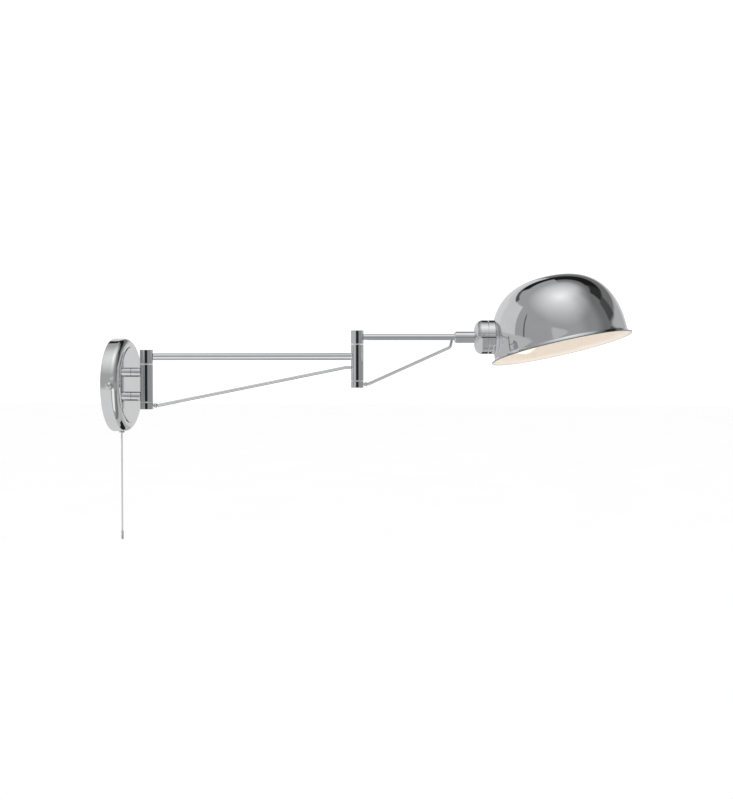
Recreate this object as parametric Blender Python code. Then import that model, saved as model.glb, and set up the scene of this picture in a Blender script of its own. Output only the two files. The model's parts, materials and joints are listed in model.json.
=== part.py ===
"""Swing arm wall sconce: a round wall canopy, two hinged arms and a domed shade on a swivel.

Frame: metres, +Z up. The wall is the plane X = 0 and the lamp reaches out along +X.
The origin is the centre of the mounting bracket's back face. The arms rest part swung.
"""

import math

import bmesh
import bpy
from mathutils import Vector

# ---- Driving dimensions -------------------------------------------------------------

FIT = 0.0003                    # gap between pieces that touch, slide or thread together

# Wall canopy
CANOPY_RADIUS = 0.060
CANOPY_DEPTH = 0.023
CANOPY_WALL = 0.0012
RIM_DEPTH = 0.0125              # straight part of the canopy's side
STEP_HEIGHT = 0.0014            # raised flat disc in the middle of the canopy's face
FACE_BORDER = 0.0108            # raised disc's edge, in from the canopy's side
SHOULDER_WIDTH = 0.0094         # rounded shoulder, in from the canopy's side
PLATE_BORDER = 0.018            # steel plate's edge, in from the canopy's side
PLATE_THICKNESS = 0.002

# Mounting bracket and its side screws
BRACKET_WIDTH = 0.018
BRACKET_THICKNESS = 0.002
LUG_DEPTH = 0.0160
LUG_CLEARANCE = 0.0015          # between a lug and the canopy's inside
WALL_HOLE_SPACING = 0.0826
WALL_SLOT_LENGTH = 0.010
WALL_SLOT_WIDTH = 0.0045
SIDE_SCREW_X = 0.0125
SIDE_SCREW_RADIUS = 0.0016
SIDE_SCREW_HEAD_RADIUS = 0.0048
SIDE_SCREW_HEAD_LENGTH = 0.0062

# Stand-off stubs between the canopy and the first post
STUB_RADIUS = 0.006
STUB_NECK_RADIUS = 0.004
STUB_BORE = 0.0020
STUB_UPPER_Z = 0.0163
STUB_LOWER_Z = -0.0147
STUB_NUT_FLATS = 0.013
STUB_NUT_THICKNESS = 0.0032

# Wiring and switch inside the canopy
TERMINAL_SIZE = (0.0105, 0.028, 0.012)
TERMINAL_Z = 0.0330
SWITCH_SIZE = (0.0120, 0.0150, 0.0200)
SWITCH_TOP_Z = -0.0335
CORD_X = 0.0092
PLUNGER_RADIUS = 0.0012
PLUNGER_TRAVEL = 0.008
BUSHING_RADIUS = 0.0026
BUSHING_FLANGE_RADIUS = 0.0036
BUSHING_FLANGE = 0.0014
CORD_RADIUS = 0.0011
CORD_END_Z = -0.1890
TIP_RADIUS = 0.0015
TIP_LENGTH = 0.0110

# Hinge posts, both alike
POST_X = 0.0425                 # first post's axis, from the wall
POST_RADIUS = 0.0085
POST_TOP_Z = 0.0454
UPPER_KNUCKLE = 0.0185
BARREL_HEIGHT = 0.0490
LOWER_KNUCKLE = 0.0092
POST_RISE = 0.0259              # second post above the first
PIN_RADIUS = 0.0037
BOLT_HEAD_RADIUS = 0.0055
BOLT_HEAD_HEIGHT = 0.0022
BOLT_RECESS = 0.0028
WASHER_THICKNESS = 0.0008
WASHER_RADIUS = 0.0083

# Arms
ARM_1_REACH = 0.280             # between the two post axes
ARM_1_TUBE_RADIUS = 0.0045
ARM_2_TUBE_RADIUS = 0.0040
TUBE_WALL = 0.0010
TUBE_BELOW_TOP = 0.0091         # tube's axis below the top of its knuckle
ROD_RADIUS = 0.0020
ROD_ABOVE_BOTTOM = 0.0046       # rod's lower end above the bottom of its knuckle
ROD_BALL_RADIUS = 0.0028
ROD_1_END_Z = 0.0215
ROD_1_STRAIGHT_END = 0.0085     # level end of the first rod, before the second post
ROD_2_BEND = 0.1225             # along the second arm
ROD_2_ENTRY = 0.1264
ROD_2_BEND_Z = 0.0490
ARM_1_REST_DEG = 21.6
ARM_2_REST_DEG = -14.1
WIRE_RADIUS = 0.0020

# Swivel and socket cup, measured along the second arm from the second post
SLEEVE_START = 0.1299
SLEEVE_LENGTH = 0.0270
SLEEVE_RADIUS = 0.0075
SLEEVE_CHAMFER = 0.0016
TUBE_IN_SLEEVE = 0.0120
STEM_LENGTH = 0.0215
STEM_BORE = 0.0025
STEM_NUT_FLATS = 0.014
STEM_NUT_THICKNESS = 0.0030
CUP_RADIUS = 0.0227
CUP_WALL = 0.0015
CUP_ROUND = 0.0097              # radius of the cup's rounded back edge
CUP_LENGTH = 0.0170
CUP_SCREW_BACK = 0.0106         # set screw, from the cup's back
GROOVE = 0.0008
COLLAR_SPIGOT = 0.0035
HOLDER_RADIUS = 0.0160
HOLDER_WALL = 0.0015
HOLDER_BACK = 0.0090            # lampholder's back, from the cup's back
HOLDER_LENGTH = 0.0300
SCREW_SHELL_WALL = 0.0006
CONTACT_SIZE = (0.0035, 0.0060, 0.0025)
SET_SCREW_RADIUS = 0.0015

# Shade: its axis crosses the arm's axis at SHADE_REACH
SHADE_SIDE_REACH = 0.1803       # the shade's side nearest the cup
SHADE_RADIUS = 0.0900
SHADE_HEIGHT = 0.0979
SHADE_POWER = 2.55              # 2 is an ellipse, more is a squarer shoulder
SHADE_WALL = 0.0012
SHADE_BELOW_AXIS = 0.0159
SHADE_PITCH_DEG = 12.1
HEAD_REST_DEG = -7.4
LIP_FLARE = 0.0051
RING_NUT_RADIUS = 0.0205
RING_NUT_THICKNESS = 0.0040
RING_NUT_STANDOFF = 0.0036

# Bulb
BULB_RADIUS = 0.0225
BULB_NECK_RADIUS = 0.0115
BULB_GLASS = 0.0012
BULB_BASE_LENGTH = 0.0200
BULB_NECK_LENGTH = 0.0090

ROUND = 28                      # sides of a small turned piece
FINE = 52                       # sides of the canopy and the shade

# ---- Values worked out from them ----------------------------------------------------

POST_BOTTOM_Z = POST_TOP_Z - UPPER_KNUCKLE - BARREL_HEIGHT - LOWER_KNUCKLE
UPPER_SEAM_Z = POST_TOP_Z - UPPER_KNUCKLE
LOWER_SEAM_Z = POST_BOTTOM_Z + LOWER_KNUCKLE
SEAM = WASHER_THICKNESS / 2 + FIT
BORE_RADIUS = PIN_RADIUS + FIT
TUBE_Z = POST_TOP_Z - TUBE_BELOW_TOP
ROD_Z = POST_BOTTOM_Z + ROD_ABOVE_BOTTOM
POST_CLEAR = POST_RADIUS + FIT
CUP_START = SLEEVE_START + SLEEVE_LENGTH + FIT
CUP_END = CUP_START + CUP_LENGTH
HOLDER_START = CUP_START + HOLDER_BACK
HOLDER_END = HOLDER_START + HOLDER_LENGTH
SHADE_REACH = SHADE_SIDE_REACH + SHADE_RADIUS
LIP_RADIUS = SHADE_RADIUS + LIP_FLARE
RIM_Z = -SHADE_BELOW_AXIS
INNER_RADIUS = CANOPY_RADIUS - CANOPY_WALL
FACE_RADIUS = CANOPY_RADIUS - FACE_BORDER
SHOULDER_EDGE = CANOPY_RADIUS - SHOULDER_WIDTH
PLATE_RADIUS = CANOPY_RADIUS - PLATE_BORDER
PLATE_BACK_X = CANOPY_DEPTH - CANOPY_WALL - FIT - PLATE_THICKNESS

# ---- Materials ----------------------------------------------------------------------

FINISHES = {
    "chrome": ((0.80, 0.81, 0.82), 1.0, 0.06),
    "zinc_steel": ((0.55, 0.56, 0.56), 1.0, 0.40),
    "brass": ((0.75, 0.58, 0.28), 1.0, 0.30),
    "copper": ((0.80, 0.45, 0.28), 1.0, 0.35),
    "nylon": ((0.85, 0.85, 0.82), 0.0, 0.45),
    "black_plastic": ((0.03, 0.03, 0.03), 0.0, 0.40),
    "white_plastic": ((0.85, 0.85, 0.83), 0.0, 0.40),
    "porcelain": ((0.90, 0.89, 0.86), 0.0, 0.20),
    "frosted_glass": ((0.95, 0.92, 0.86), 0.0, 0.35),
    "silver_cord": ((0.70, 0.70, 0.70), 0.0, 0.60),
}


def finish(name):
    """The material of this name, made the first time that it is asked for."""
    if name in bpy.data.materials:
        return bpy.data.materials[name]
    colour, metallic, roughness = FINISHES[name]
    material = bpy.data.materials.new(name)
    material.use_nodes = True
    shader = material.node_tree.nodes["Principled BSDF"]
    shader.inputs["Base Color"].default_value = (*colour, 1.0)
    shader.inputs["Metallic"].default_value = metallic
    shader.inputs["Roughness"].default_value = roughness
    return material


# ---- Making and placing -------------------------------------------------------------

ALONG_X = (0.0, math.radians(90), 0.0)
TOWARDS_MINUS_Y = (math.radians(90), 0.0, 0.0)
TOWARDS_PLUS_Y = (math.radians(-90), 0.0, 0.0)
UPRIGHT = (0.0, 0.0, 0.0)


def axis_empty(name, location, rotation, parent=None):
    """An empty on a joint's axis, which the pieces of that body hang from."""
    empty = bpy.data.objects.new(name, None)
    bpy.context.scene.collection.objects.link(empty)
    empty.location = location
    empty.rotation_euler = rotation
    empty.parent = parent
    return empty


def place(obj, material, location, rotation, parent):
    bpy.context.scene.collection.objects.link(obj)
    obj.data.materials.append(finish(material))
    obj.location = location
    obj.rotation_euler = rotation
    obj.parent = parent
    return obj


def from_bmesh(name, mesh_maker, material, location, rotation, parent):
    """An object whose mesh is a filled bmesh, with its faces turned out and shaded smooth."""
    bmesh.ops.recalc_face_normals(mesh_maker, faces=mesh_maker.faces)
    mesh = bpy.data.meshes.new(name)
    mesh_maker.to_mesh(mesh)
    mesh_maker.free()
    mesh.shade_smooth()
    mesh.set_sharp_from_angle(angle=math.radians(35))
    return place(bpy.data.objects.new(name, mesh), material, location, rotation, parent)


def turned(name, profile, material, location, rotation, parent, sides=ROUND):
    """A piece turned on its own Z axis from (radius, height) points.

    A profile that starts and ends on the axis is left open there. Any other is a ring.
    """
    maker = bmesh.new()
    points = [maker.verts.new((radius, 0.0, height)) for radius, height in profile]
    edges = [maker.edges.new(pair) for pair in zip(points, points[1:])]
    on_axis = profile[0][0] == 0.0 and profile[-1][0] == 0.0
    if not on_axis:
        edges.append(maker.edges.new((points[-1], points[0])))
    bmesh.ops.spin(
        maker, geom=points + edges, cent=(0, 0, 0), axis=(0, 0, 1), angle=math.tau,
        steps=sides, use_merge=True,
    )
    bmesh.ops.remove_doubles(maker, verts=maker.verts, dist=1e-7)
    return from_bmesh(name, maker, material, location, rotation, parent)


def prism(name, outline, height, material, location, rotation, parent, bevel=0.0):
    """A flat outline of (x, y) points drawn up along its own Z axis by height."""
    maker = bmesh.new()
    base = maker.faces.new([maker.verts.new((x, y, 0.0)) for x, y in outline])
    grown = bmesh.ops.extrude_face_region(maker, geom=[base])
    top = [item for item in grown["geom"] if isinstance(item, bmesh.types.BMVert)]
    bmesh.ops.translate(maker, verts=top, vec=(0, 0, height))
    if bevel:
        bmesh.ops.bevel(
            maker, geom=list(maker.edges), offset=bevel, segments=2, affect="EDGES",
            profile=0.5, clamp_overlap=True,
        )
    return from_bmesh(name, maker, material, location, rotation, parent)


def block(name, size, material, centre, parent, bevel):
    """A box with rounded edges, placed by its centre."""
    half_x = size[0] / 2
    half_y = size[1] / 2
    outline = [(-half_x, -half_y), (half_x, -half_y), (half_x, half_y), (-half_x, half_y)]
    corner = (centre[0], centre[1], centre[2] - size[2] / 2)
    return prism(name, outline, size[2], material, corner, UPRIGHT, parent, bevel)


def wire(name, points, radius, material, parent, sides_setting=4):
    """A round bar or cord along points, with filled ends."""
    curve = bpy.data.curves.new(name, "CURVE")
    curve.dimensions = "3D"
    curve.bevel_depth = radius
    curve.bevel_resolution = sides_setting
    curve.use_fill_caps = True
    spline = curve.splines.new("POLY")
    spline.points.add(len(points) - 1)
    for point, place_at in zip(spline.points, points):
        point.co = (*place_at, 1.0)
    return place(bpy.data.objects.new(name, curve), material, (0, 0, 0), UPRIGHT, parent)


def cut(obj, cutter):
    """Takes the cutter's shape out of the object. The cutter itself isn't a piece."""
    cutter.hide_render = True
    cutter.display_type = "WIRE"
    boolean = obj.modifiers.new("cut " + cutter.name, "BOOLEAN")
    boolean.operation = "DIFFERENCE"
    boolean.solver = "EXACT"
    boolean.object = cutter


def drill(obj, radius, start, direction_rotation, length, parent):
    """A round hole from start along the rotated Z axis."""
    profile = [(0.0, 0.0), (radius, 0.0), (radius, length), (0.0, length)]
    name = f"{obj.name} drill {len(obj.modifiers) + 1}"
    cut(obj, turned(name, profile, "zinc_steel", start, direction_rotation, parent, 24))


def arc(centre, radius, start_deg, end_deg, steps):
    """Points of a circular arc, both ends included."""
    found = []
    for step in range(steps + 1):
        angle = math.radians(start_deg + (end_deg - start_deg) * step / steps)
        found.append((centre[0] + radius * math.cos(angle), centre[1] + radius * math.sin(angle)))
    return found


def rounded_corner(before, corner, after, radius, steps=6):
    """Points of a fillet of this radius where two straight runs meet."""
    into = (Vector(before) - Vector(corner)).normalized()
    out = (Vector(after) - Vector(corner)).normalized()
    half = into.angle(out) / 2
    centre = Vector(corner) + (into + out).normalized() * radius / math.sin(half)
    reach = radius / math.tan(half)
    start = Vector(corner) + into * reach - centre
    end = Vector(corner) + out * reach - centre
    return [tuple(centre + start.slerp(end, i / steps).normalized() * radius) for i in range(steps + 1)]


def tube_profile(outer, inner, start, end):
    return [(outer, start), (outer, end), (inner, end), (inner, start)]


def hexagon(flats):
    corner = flats / 2 / math.cos(math.radians(30))
    return [
        (corner * math.cos(math.radians(60 * i)), corner * math.sin(math.radians(60 * i)))
        for i in range(6)
    ]


for old in list(bpy.data.objects):
    bpy.data.objects.remove(old)

# ---- Wall canopy --------------------------------------------------------------------

SHOULDER_TOP = CANOPY_DEPTH - STEP_HEIGHT


def canopy_outline(offset, steps):
    """Half section of the canopy's skin from its axis to its back edge, offset inwards."""
    face_x = CANOPY_DEPTH - offset
    shoulder_x = SHOULDER_TOP - offset
    centre = (SHOULDER_EDGE, RIM_DEPTH)
    width = CANOPY_RADIUS - SHOULDER_EDGE - offset
    height = shoulder_x - RIM_DEPTH
    shoulder = []
    for radius, x in arc((0, 0), 1.0, 90, 0, steps):
        shoulder.append((centre[0] + radius * width, centre[1] + x * height))
    rise = STEP_HEIGHT * 0.4
    return [
        (0.0, face_x),
        (FACE_RADIUS - rise, face_x),
        (FACE_RADIUS, face_x - rise),
        (FACE_RADIUS, shoulder_x),
        *shoulder,
        (CANOPY_RADIUS - offset, 0.0),
    ]


skin = canopy_outline(0.0, 7) + canopy_outline(CANOPY_WALL, 4)[::-1]
canopy = turned("wall_canopy", skin, "chrome", (0, 0, 0), ALONG_X, None, FINE)

plate_section = [
    (0.0, PLATE_BACK_X), (PLATE_RADIUS, PLATE_BACK_X),
    (PLATE_RADIUS, PLATE_BACK_X + PLATE_THICKNESS), (0.0, PLATE_BACK_X + PLATE_THICKNESS),
]
plate = turned("backing_plate", plate_section, "zinc_steel", (0, 0, 0), ALONG_X, None, 40)

for piece in (canopy, plate):
    for stub_z in (STUB_UPPER_Z, STUB_LOWER_Z):
        hole_start = (PLATE_BACK_X - FIT, 0, stub_z)
        drill(piece, STUB_NECK_RADIUS + FIT, hole_start, ALONG_X, CANOPY_DEPTH, None)
for rotation in (TOWARDS_MINUS_Y, TOWARDS_PLUS_Y):
    drill(canopy, SIDE_SCREW_RADIUS + FIT, (SIDE_SCREW_X, 0, 0), rotation, 2 * CANOPY_RADIUS, None)
drill(
    canopy, BUSHING_RADIUS + FIT, (CORD_X, 0, -2 * CANOPY_RADIUS), UPRIGHT, 1.6 * CANOPY_RADIUS, None
)

# Bracket: a flat strip on the wall with a lug turned out at each end
LUG_Y = math.sqrt(INNER_RADIUS**2 - (BRACKET_WIDTH / 2) ** 2) - LUG_CLEARANCE
LUG_INNER_Y = LUG_Y - BRACKET_THICKNESS
bracket_section = [
    (0, -LUG_Y), (0, LUG_Y), (LUG_DEPTH, LUG_Y), (LUG_DEPTH, LUG_INNER_Y),
    (BRACKET_THICKNESS, LUG_INNER_Y), (BRACKET_THICKNESS, -LUG_INNER_Y),
    (LUG_DEPTH, -LUG_INNER_Y), (LUG_DEPTH, -LUG_Y),
]
bracket = prism(
    "mounting_bracket", bracket_section, BRACKET_WIDTH, "zinc_steel",
    (0, 0, -BRACKET_WIDTH / 2), UPRIGHT, None,
)
for side in (-1, 1):
    slot_half = (WALL_SLOT_LENGTH - WALL_SLOT_WIDTH) / 2
    slot_end = WALL_SLOT_WIDTH / 2
    outline = arc((0, slot_half), slot_end, 0, 180, 10) + arc((0, -slot_half), slot_end, 180, 360, 10)
    slot_at = (-BRACKET_THICKNESS, side * WALL_HOLE_SPACING / 2, 0)
    name = f"bracket slot {side}"
    cut(bracket, prism(name, outline, 3 * BRACKET_THICKNESS, "zinc_steel", slot_at, ALONG_X, None))
for rotation in (TOWARDS_MINUS_Y, TOWARDS_PLUS_Y):
    start = (SIDE_SCREW_X, 0, 0)
    drill(bracket, SIDE_SCREW_RADIUS + FIT, start, rotation, 2 * CANOPY_RADIUS, None)

# Side screws: knobs with domed ends, through the canopy's rim into the bracket's lugs
head_start = CANOPY_RADIUS + FIT
dome_start = head_start + SIDE_SCREW_HEAD_LENGTH * 0.55
dome_height = SIDE_SCREW_HEAD_LENGTH * 0.45
screw_section = [
    (0.0, LUG_INNER_Y - 0.001), (SIDE_SCREW_RADIUS, LUG_INNER_Y - 0.001),
    (SIDE_SCREW_RADIUS, head_start),
    (SIDE_SCREW_HEAD_RADIUS * 0.8, head_start), (SIDE_SCREW_HEAD_RADIUS, head_start + 0.0008),
]
for x, y in arc((0, 0), 1.0, 0, 90, 5):
    radius = 0.0 if y == 1.0 else SIDE_SCREW_HEAD_RADIUS * x
    screw_section.append((radius, dome_start + dome_height * y))
for name, rotation in (("side_screw_near", TOWARDS_MINUS_Y), ("side_screw_far", TOWARDS_PLUS_Y)):
    turned(name, screw_section, "chrome", (SIDE_SCREW_X, 0, 0), rotation, None, 24)

# Stubs: shoulders on the canopy's face, necks through it, ends shaped to the post
for level, stub_z in (("upper", STUB_UPPER_Z), ("lower", STUB_LOWER_Z)):
    neck_start = PLATE_BACK_X - STUB_NUT_THICKNESS - 0.0015
    stub_section = [
        (STUB_NECK_RADIUS, neck_start), (STUB_NECK_RADIUS, CANOPY_DEPTH + FIT),
        (STUB_RADIUS, CANOPY_DEPTH + FIT), (STUB_RADIUS, POST_X), (STUB_BORE, POST_X),
        (STUB_BORE, neck_start),
    ]
    stub = turned(f"{level}_stub", stub_section, "chrome", (0, 0, stub_z), ALONG_X, None)
    drill(stub, POST_CLEAR, (POST_X, 0, -STUB_RADIUS * 2 + stub_z), UPRIGHT, STUB_RADIUS * 4, None)
    nut_at = (PLATE_BACK_X - FIT - STUB_NUT_THICKNESS, 0, stub_z)
    nut = prism(
        f"{level}_stub_nut", hexagon(STUB_NUT_FLATS), STUB_NUT_THICKNESS, "zinc_steel",
        nut_at, ALONG_X, None, bevel=0.0003,
    )
    drill(nut, STUB_NECK_RADIUS + FIT, (0, 0, stub_z), ALONG_X, CANOPY_DEPTH, None)

# ---- Inside the canopy --------------------------------------------------------------

terminal_x = PLATE_BACK_X - FIT - TERMINAL_SIZE[0] / 2
block("terminal_block", TERMINAL_SIZE, "white_plastic", (terminal_x, 0, TERMINAL_Z), None, 0.0008)

earth_section = [
    (0.0, 0.0), (0.0035, 0.0), (0.0035, 0.0018), (0.0016, 0.0018), (0.0016, 0.0034), (0.0, 0.0034),
]
earth_at = (PLATE_BACK_X - FIT - 0.0018, 0.026, 0.0)
turned("earth_screw", earth_section, "brass", earth_at, ALONG_X, None, 20)
drill(plate, 0.0016 + FIT, (0, 0.026, 0), ALONG_X, CANOPY_DEPTH, None)

switch_centre = (CORD_X, 0, SWITCH_TOP_Z - SWITCH_SIZE[2] / 2)
switch = block("pull_switch", SWITCH_SIZE, "black_plastic", switch_centre, None, 0.0010)
switch_bottom = SWITCH_TOP_Z - SWITCH_SIZE[2]
plunger_top = switch_bottom + PLUNGER_TRAVEL + 0.002
drill(
    switch, PLUNGER_RADIUS + FIT, (CORD_X, 0, switch_bottom - 0.005), UPRIGHT,
    plunger_top + FIT + 0.005 - switch_bottom, None,
)

# Bushing: pushed up through the rim, with its flange below
flange_top = -CANOPY_RADIUS - FIT
bushing_bottom = flange_top - BUSHING_FLANGE
bushing_bore = PLUNGER_RADIUS + FIT
bushing_section = [
    (bushing_bore, bushing_bottom), (BUSHING_FLANGE_RADIUS - 0.0004, bushing_bottom),
    (BUSHING_FLANGE_RADIUS, bushing_bottom + 0.0004), (BUSHING_FLANGE_RADIUS, flange_top),
    (BUSHING_RADIUS, flange_top), (BUSHING_RADIUS, flange_top + 0.0045),
    (bushing_bore, flange_top + 0.0045),
]
turned("cord_bushing", bushing_section, "chrome", (CORD_X, 0, 0), UPRIGHT, None, 24)

# ---- Pull cord: hangs straight down from the switch's plunger --------------------------

plunger_bottom = bushing_bottom
plunger_section = [
    (0.0, plunger_bottom), (PLUNGER_RADIUS, plunger_bottom), (PLUNGER_RADIUS, plunger_top),
    (0.0, plunger_top),
]
pull_axis = axis_empty("pull_axis", (CORD_X, 0, 0), UPRIGHT)
turned("switch_plunger", plunger_section, "zinc_steel", (0, 0, 0), UPRIGHT, pull_axis, 20)
cord_top = plunger_bottom - FIT
CORD_POINTS = 24
cord_line = [
    (0.0, 0.0, cord_top + (CORD_END_Z - cord_top) * i / (CORD_POINTS - 1)) for i in range(CORD_POINTS)
]
wire("pull_cord", cord_line, CORD_RADIUS, "silver_cord", pull_axis, 2)
tip_top = CORD_END_Z - FIT
tip_section = [
    (0.0, tip_top - TIP_LENGTH), (TIP_RADIUS - 0.0003, tip_top - TIP_LENGTH),
    (TIP_RADIUS, tip_top - TIP_LENGTH + 0.0003), (TIP_RADIUS, tip_top - 0.0003),
    (TIP_RADIUS - 0.0003, tip_top), (0.0, tip_top),
]
turned("cord_tip", tip_section, "chrome", (0, 0, 0), UPRIGHT, pull_axis, 20)

# ---- Hinge posts ----------------------------------------------------------------------


def make_barrel(name, parent, location):
    low = LOWER_SEAM_Z + SEAM
    high = UPPER_SEAM_Z - SEAM
    section = tube_profile(POST_RADIUS, BORE_RADIUS, low, high)
    return turned(name, section, "chrome", location, UPRIGHT, parent)


def make_knuckles(number, parent):
    """The two knuckles, bolt, nut and washers that turn with an arm about its post."""
    edge = 0.0003
    recess = BOLT_HEAD_RADIUS + FIT
    start = UPPER_SEAM_Z + SEAM
    upper = [
        (POST_RADIUS, start), (POST_RADIUS, POST_TOP_Z - edge), (POST_RADIUS - edge, POST_TOP_Z),
        (recess, POST_TOP_Z), (recess, POST_TOP_Z - BOLT_RECESS),
        (BORE_RADIUS, POST_TOP_Z - BOLT_RECESS), (BORE_RADIUS, start),
    ]
    turned(f"post_{number}_upper_knuckle", upper, "chrome", (0, 0, 0), UPRIGHT, parent)
    end = LOWER_SEAM_Z - SEAM
    lower = [
        (POST_RADIUS, end), (POST_RADIUS, POST_BOTTOM_Z + edge), (POST_RADIUS - edge, POST_BOTTOM_Z),
        (recess, POST_BOTTOM_Z), (recess, POST_BOTTOM_Z + BOLT_RECESS),
        (BORE_RADIUS, POST_BOTTOM_Z + BOLT_RECESS), (BORE_RADIUS, end),
    ]
    turned(f"post_{number}_lower_knuckle", lower, "chrome", (0, 0, 0), UPRIGHT, parent)
    head_top = POST_TOP_Z - BOLT_RECESS + FIT + BOLT_HEAD_HEIGHT
    head_under = POST_TOP_Z - BOLT_RECESS + FIT
    bolt_end = POST_BOTTOM_Z + 0.0003
    bolt = [
        (0.0, head_top), (BOLT_HEAD_RADIUS - edge, head_top), (BOLT_HEAD_RADIUS, head_top - edge),
        (BOLT_HEAD_RADIUS, head_under), (PIN_RADIUS, head_under), (PIN_RADIUS, bolt_end),
        (0.0, bolt_end),
    ]
    turned(f"post_{number}_bolt", bolt, "zinc_steel", (0, 0, 0), UPRIGHT, parent, 24)
    nut_top = POST_BOTTOM_Z + BOLT_RECESS - FIT
    nut = tube_profile(BOLT_HEAD_RADIUS, BORE_RADIUS, nut_top - BOLT_HEAD_HEIGHT, nut_top)
    turned(f"post_{number}_nut", nut, "zinc_steel", (0, 0, 0), UPRIGHT, parent, 24)
    for level, seam_z in (("upper", UPPER_SEAM_Z), ("lower", LOWER_SEAM_Z)):
        low = seam_z - WASHER_THICKNESS / 2
        washer = tube_profile(WASHER_RADIUS, BORE_RADIUS, low, low + WASHER_THICKNESS)
        turned(f"post_{number}_{level}_washer", washer, "nylon", (0, 0, 0), UPRIGHT, parent, 24)


def make_arm_tube(name, radius, start, end, post_ends, z, parent):
    """A hollow arm tube along X whose ends are shaped to the posts that it meets."""
    section = tube_profile(radius, radius - TUBE_WALL, start, end)
    tube = turned(name, section, "chrome", (0, 0, z), ALONG_X, parent, 24)
    for post_at in post_ends:
        drill(tube, POST_CLEAR, (post_at, 0, z - 3 * radius), UPRIGHT, 6 * radius, parent)
    return tube


def make_rod_ball(name, z, parent):
    """The ball that the brace rod is screwed into, on the lower knuckle."""
    at = POST_CLEAR + ROD_BALL_RADIUS
    section = []
    for x, y in arc((0, 0), ROD_BALL_RADIUS, -90, 90, 12):
        section.append((0.0 if abs(x) < 1e-9 else x, y))
    turned(name, section, "chrome", (at, 0, z), UPRIGHT, parent, 20)
    return at + ROD_BALL_RADIUS


make_barrel("post_1_barrel", None, (POST_X, 0, 0))

# ---- First arm ------------------------------------------------------------------------

arm_1 = axis_empty("arm_1_axis", (POST_X, 0, 0), (0, 0, math.radians(ARM_1_REST_DEG)))
make_knuckles(1, arm_1)
make_arm_tube(
    "arm_1_tube", ARM_1_TUBE_RADIUS, POST_RADIUS / 2, ARM_1_REACH - POST_RADIUS / 2,
    (0.0, ARM_1_REACH), TUBE_Z, arm_1,
)
rod_1_start = make_rod_ball("arm_1_rod_ball", ROD_Z, arm_1) + FIT
rod_1_bend = ARM_1_REACH - POST_CLEAR - ROD_1_STRAIGHT_END
rod_1_end = ARM_1_REACH - POST_CLEAR - FIT
rod_1_corners = ((rod_1_start, 0, ROD_Z), (rod_1_bend, 0, ROD_1_END_Z), (rod_1_end, 0, ROD_1_END_Z))
rod_1_line = [rod_1_corners[0], *rounded_corner(*rod_1_corners, 0.020), rod_1_corners[2]]
wire("arm_1_rod", rod_1_line, ROD_RADIUS, "chrome", arm_1)
wire_margin = POST_RADIUS + 0.004
wire(
    "arm_1_wire", [(wire_margin, 0, TUBE_Z), (ARM_1_REACH - wire_margin, 0, TUBE_Z)],
    WIRE_RADIUS, "black_plastic", arm_1, 2,
)
make_barrel("post_2_barrel", arm_1, (ARM_1_REACH, 0, POST_RISE))

# ---- Second arm -----------------------------------------------------------------------

arm_2 = axis_empty(
    "arm_2_axis", (ARM_1_REACH, 0, POST_RISE), (0, 0, math.radians(ARM_2_REST_DEG)), arm_1
)
make_knuckles(2, arm_2)
tube_2_end = SLEEVE_START + TUBE_IN_SLEEVE
make_arm_tube(
    "arm_2_tube", ARM_2_TUBE_RADIUS, POST_RADIUS / 2, tube_2_end, (0.0,), TUBE_Z, arm_2
)
rod_2_start = make_rod_ball("arm_2_rod_ball", ROD_Z, arm_2) + FIT
rod_2_bend_z = ROD_2_BEND_Z - POST_RISE
rod_2_end_z = TUBE_Z - ARM_2_TUBE_RADIUS - 2 * FIT
rod_2_corners = (
    (rod_2_start, 0, ROD_Z), (ROD_2_BEND + 0.002, 0, rod_2_bend_z), (ROD_2_ENTRY, 0, rod_2_end_z),
)
rod_2_line = [rod_2_corners[0], *rounded_corner(*rod_2_corners, 0.0045), rod_2_corners[2]]
wire("arm_2_rod", rod_2_line, ROD_RADIUS, "chrome", arm_2)
wire(
    "arm_2_wire", [(wire_margin, 0, TUBE_Z), (tube_2_end - 0.004, 0, TUBE_Z)], WIRE_RADIUS,
    "black_plastic", arm_2, 2,
)

# Sleeve: fixed on the tube's end, with the swivel stem turning in its other half
sleeve_bore = ARM_2_TUBE_RADIUS + FIT
sleeve_end = SLEEVE_START + SLEEVE_LENGTH
sleeve_section = [
    (sleeve_bore, SLEEVE_START), (SLEEVE_RADIUS - SLEEVE_CHAMFER, SLEEVE_START),
    (SLEEVE_RADIUS, SLEEVE_START + SLEEVE_CHAMFER), (SLEEVE_RADIUS, sleeve_end),
    (sleeve_bore, sleeve_end),
]
sleeve = turned("swivel_sleeve", sleeve_section, "chrome", (0, 0, TUBE_Z), ALONG_X, arm_2)
sleeve_screw_x = SLEEVE_START + TUBE_IN_SLEEVE / 2 + SLEEVE_CHAMFER
sleeve_screw_end = ARM_2_TUBE_RADIUS + FIT
DOWNWARDS = (math.radians(180), 0.0, 0.0)
set_screw_section = [
    (0.0, sleeve_screw_end), (SET_SCREW_RADIUS, sleeve_screw_end),
    (SET_SCREW_RADIUS, SLEEVE_RADIUS - 0.0004), (0.0, SLEEVE_RADIUS - 0.0004),
]
turned(
    "sleeve_set_screw", set_screw_section, "zinc_steel", (sleeve_screw_x, 0, TUBE_Z), DOWNWARDS,
    arm_2, 20,
)
drill(sleeve, SET_SCREW_RADIUS + FIT, (sleeve_screw_x, 0, TUBE_Z), DOWNWARDS, 0.02, arm_2)

# ---- Head: everything that turns in the sleeve ------------------------------------------

head = axis_empty("head_axis", (0, 0, TUBE_Z), (math.radians(HEAD_REST_DEG), 0, 0), arm_2)

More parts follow.
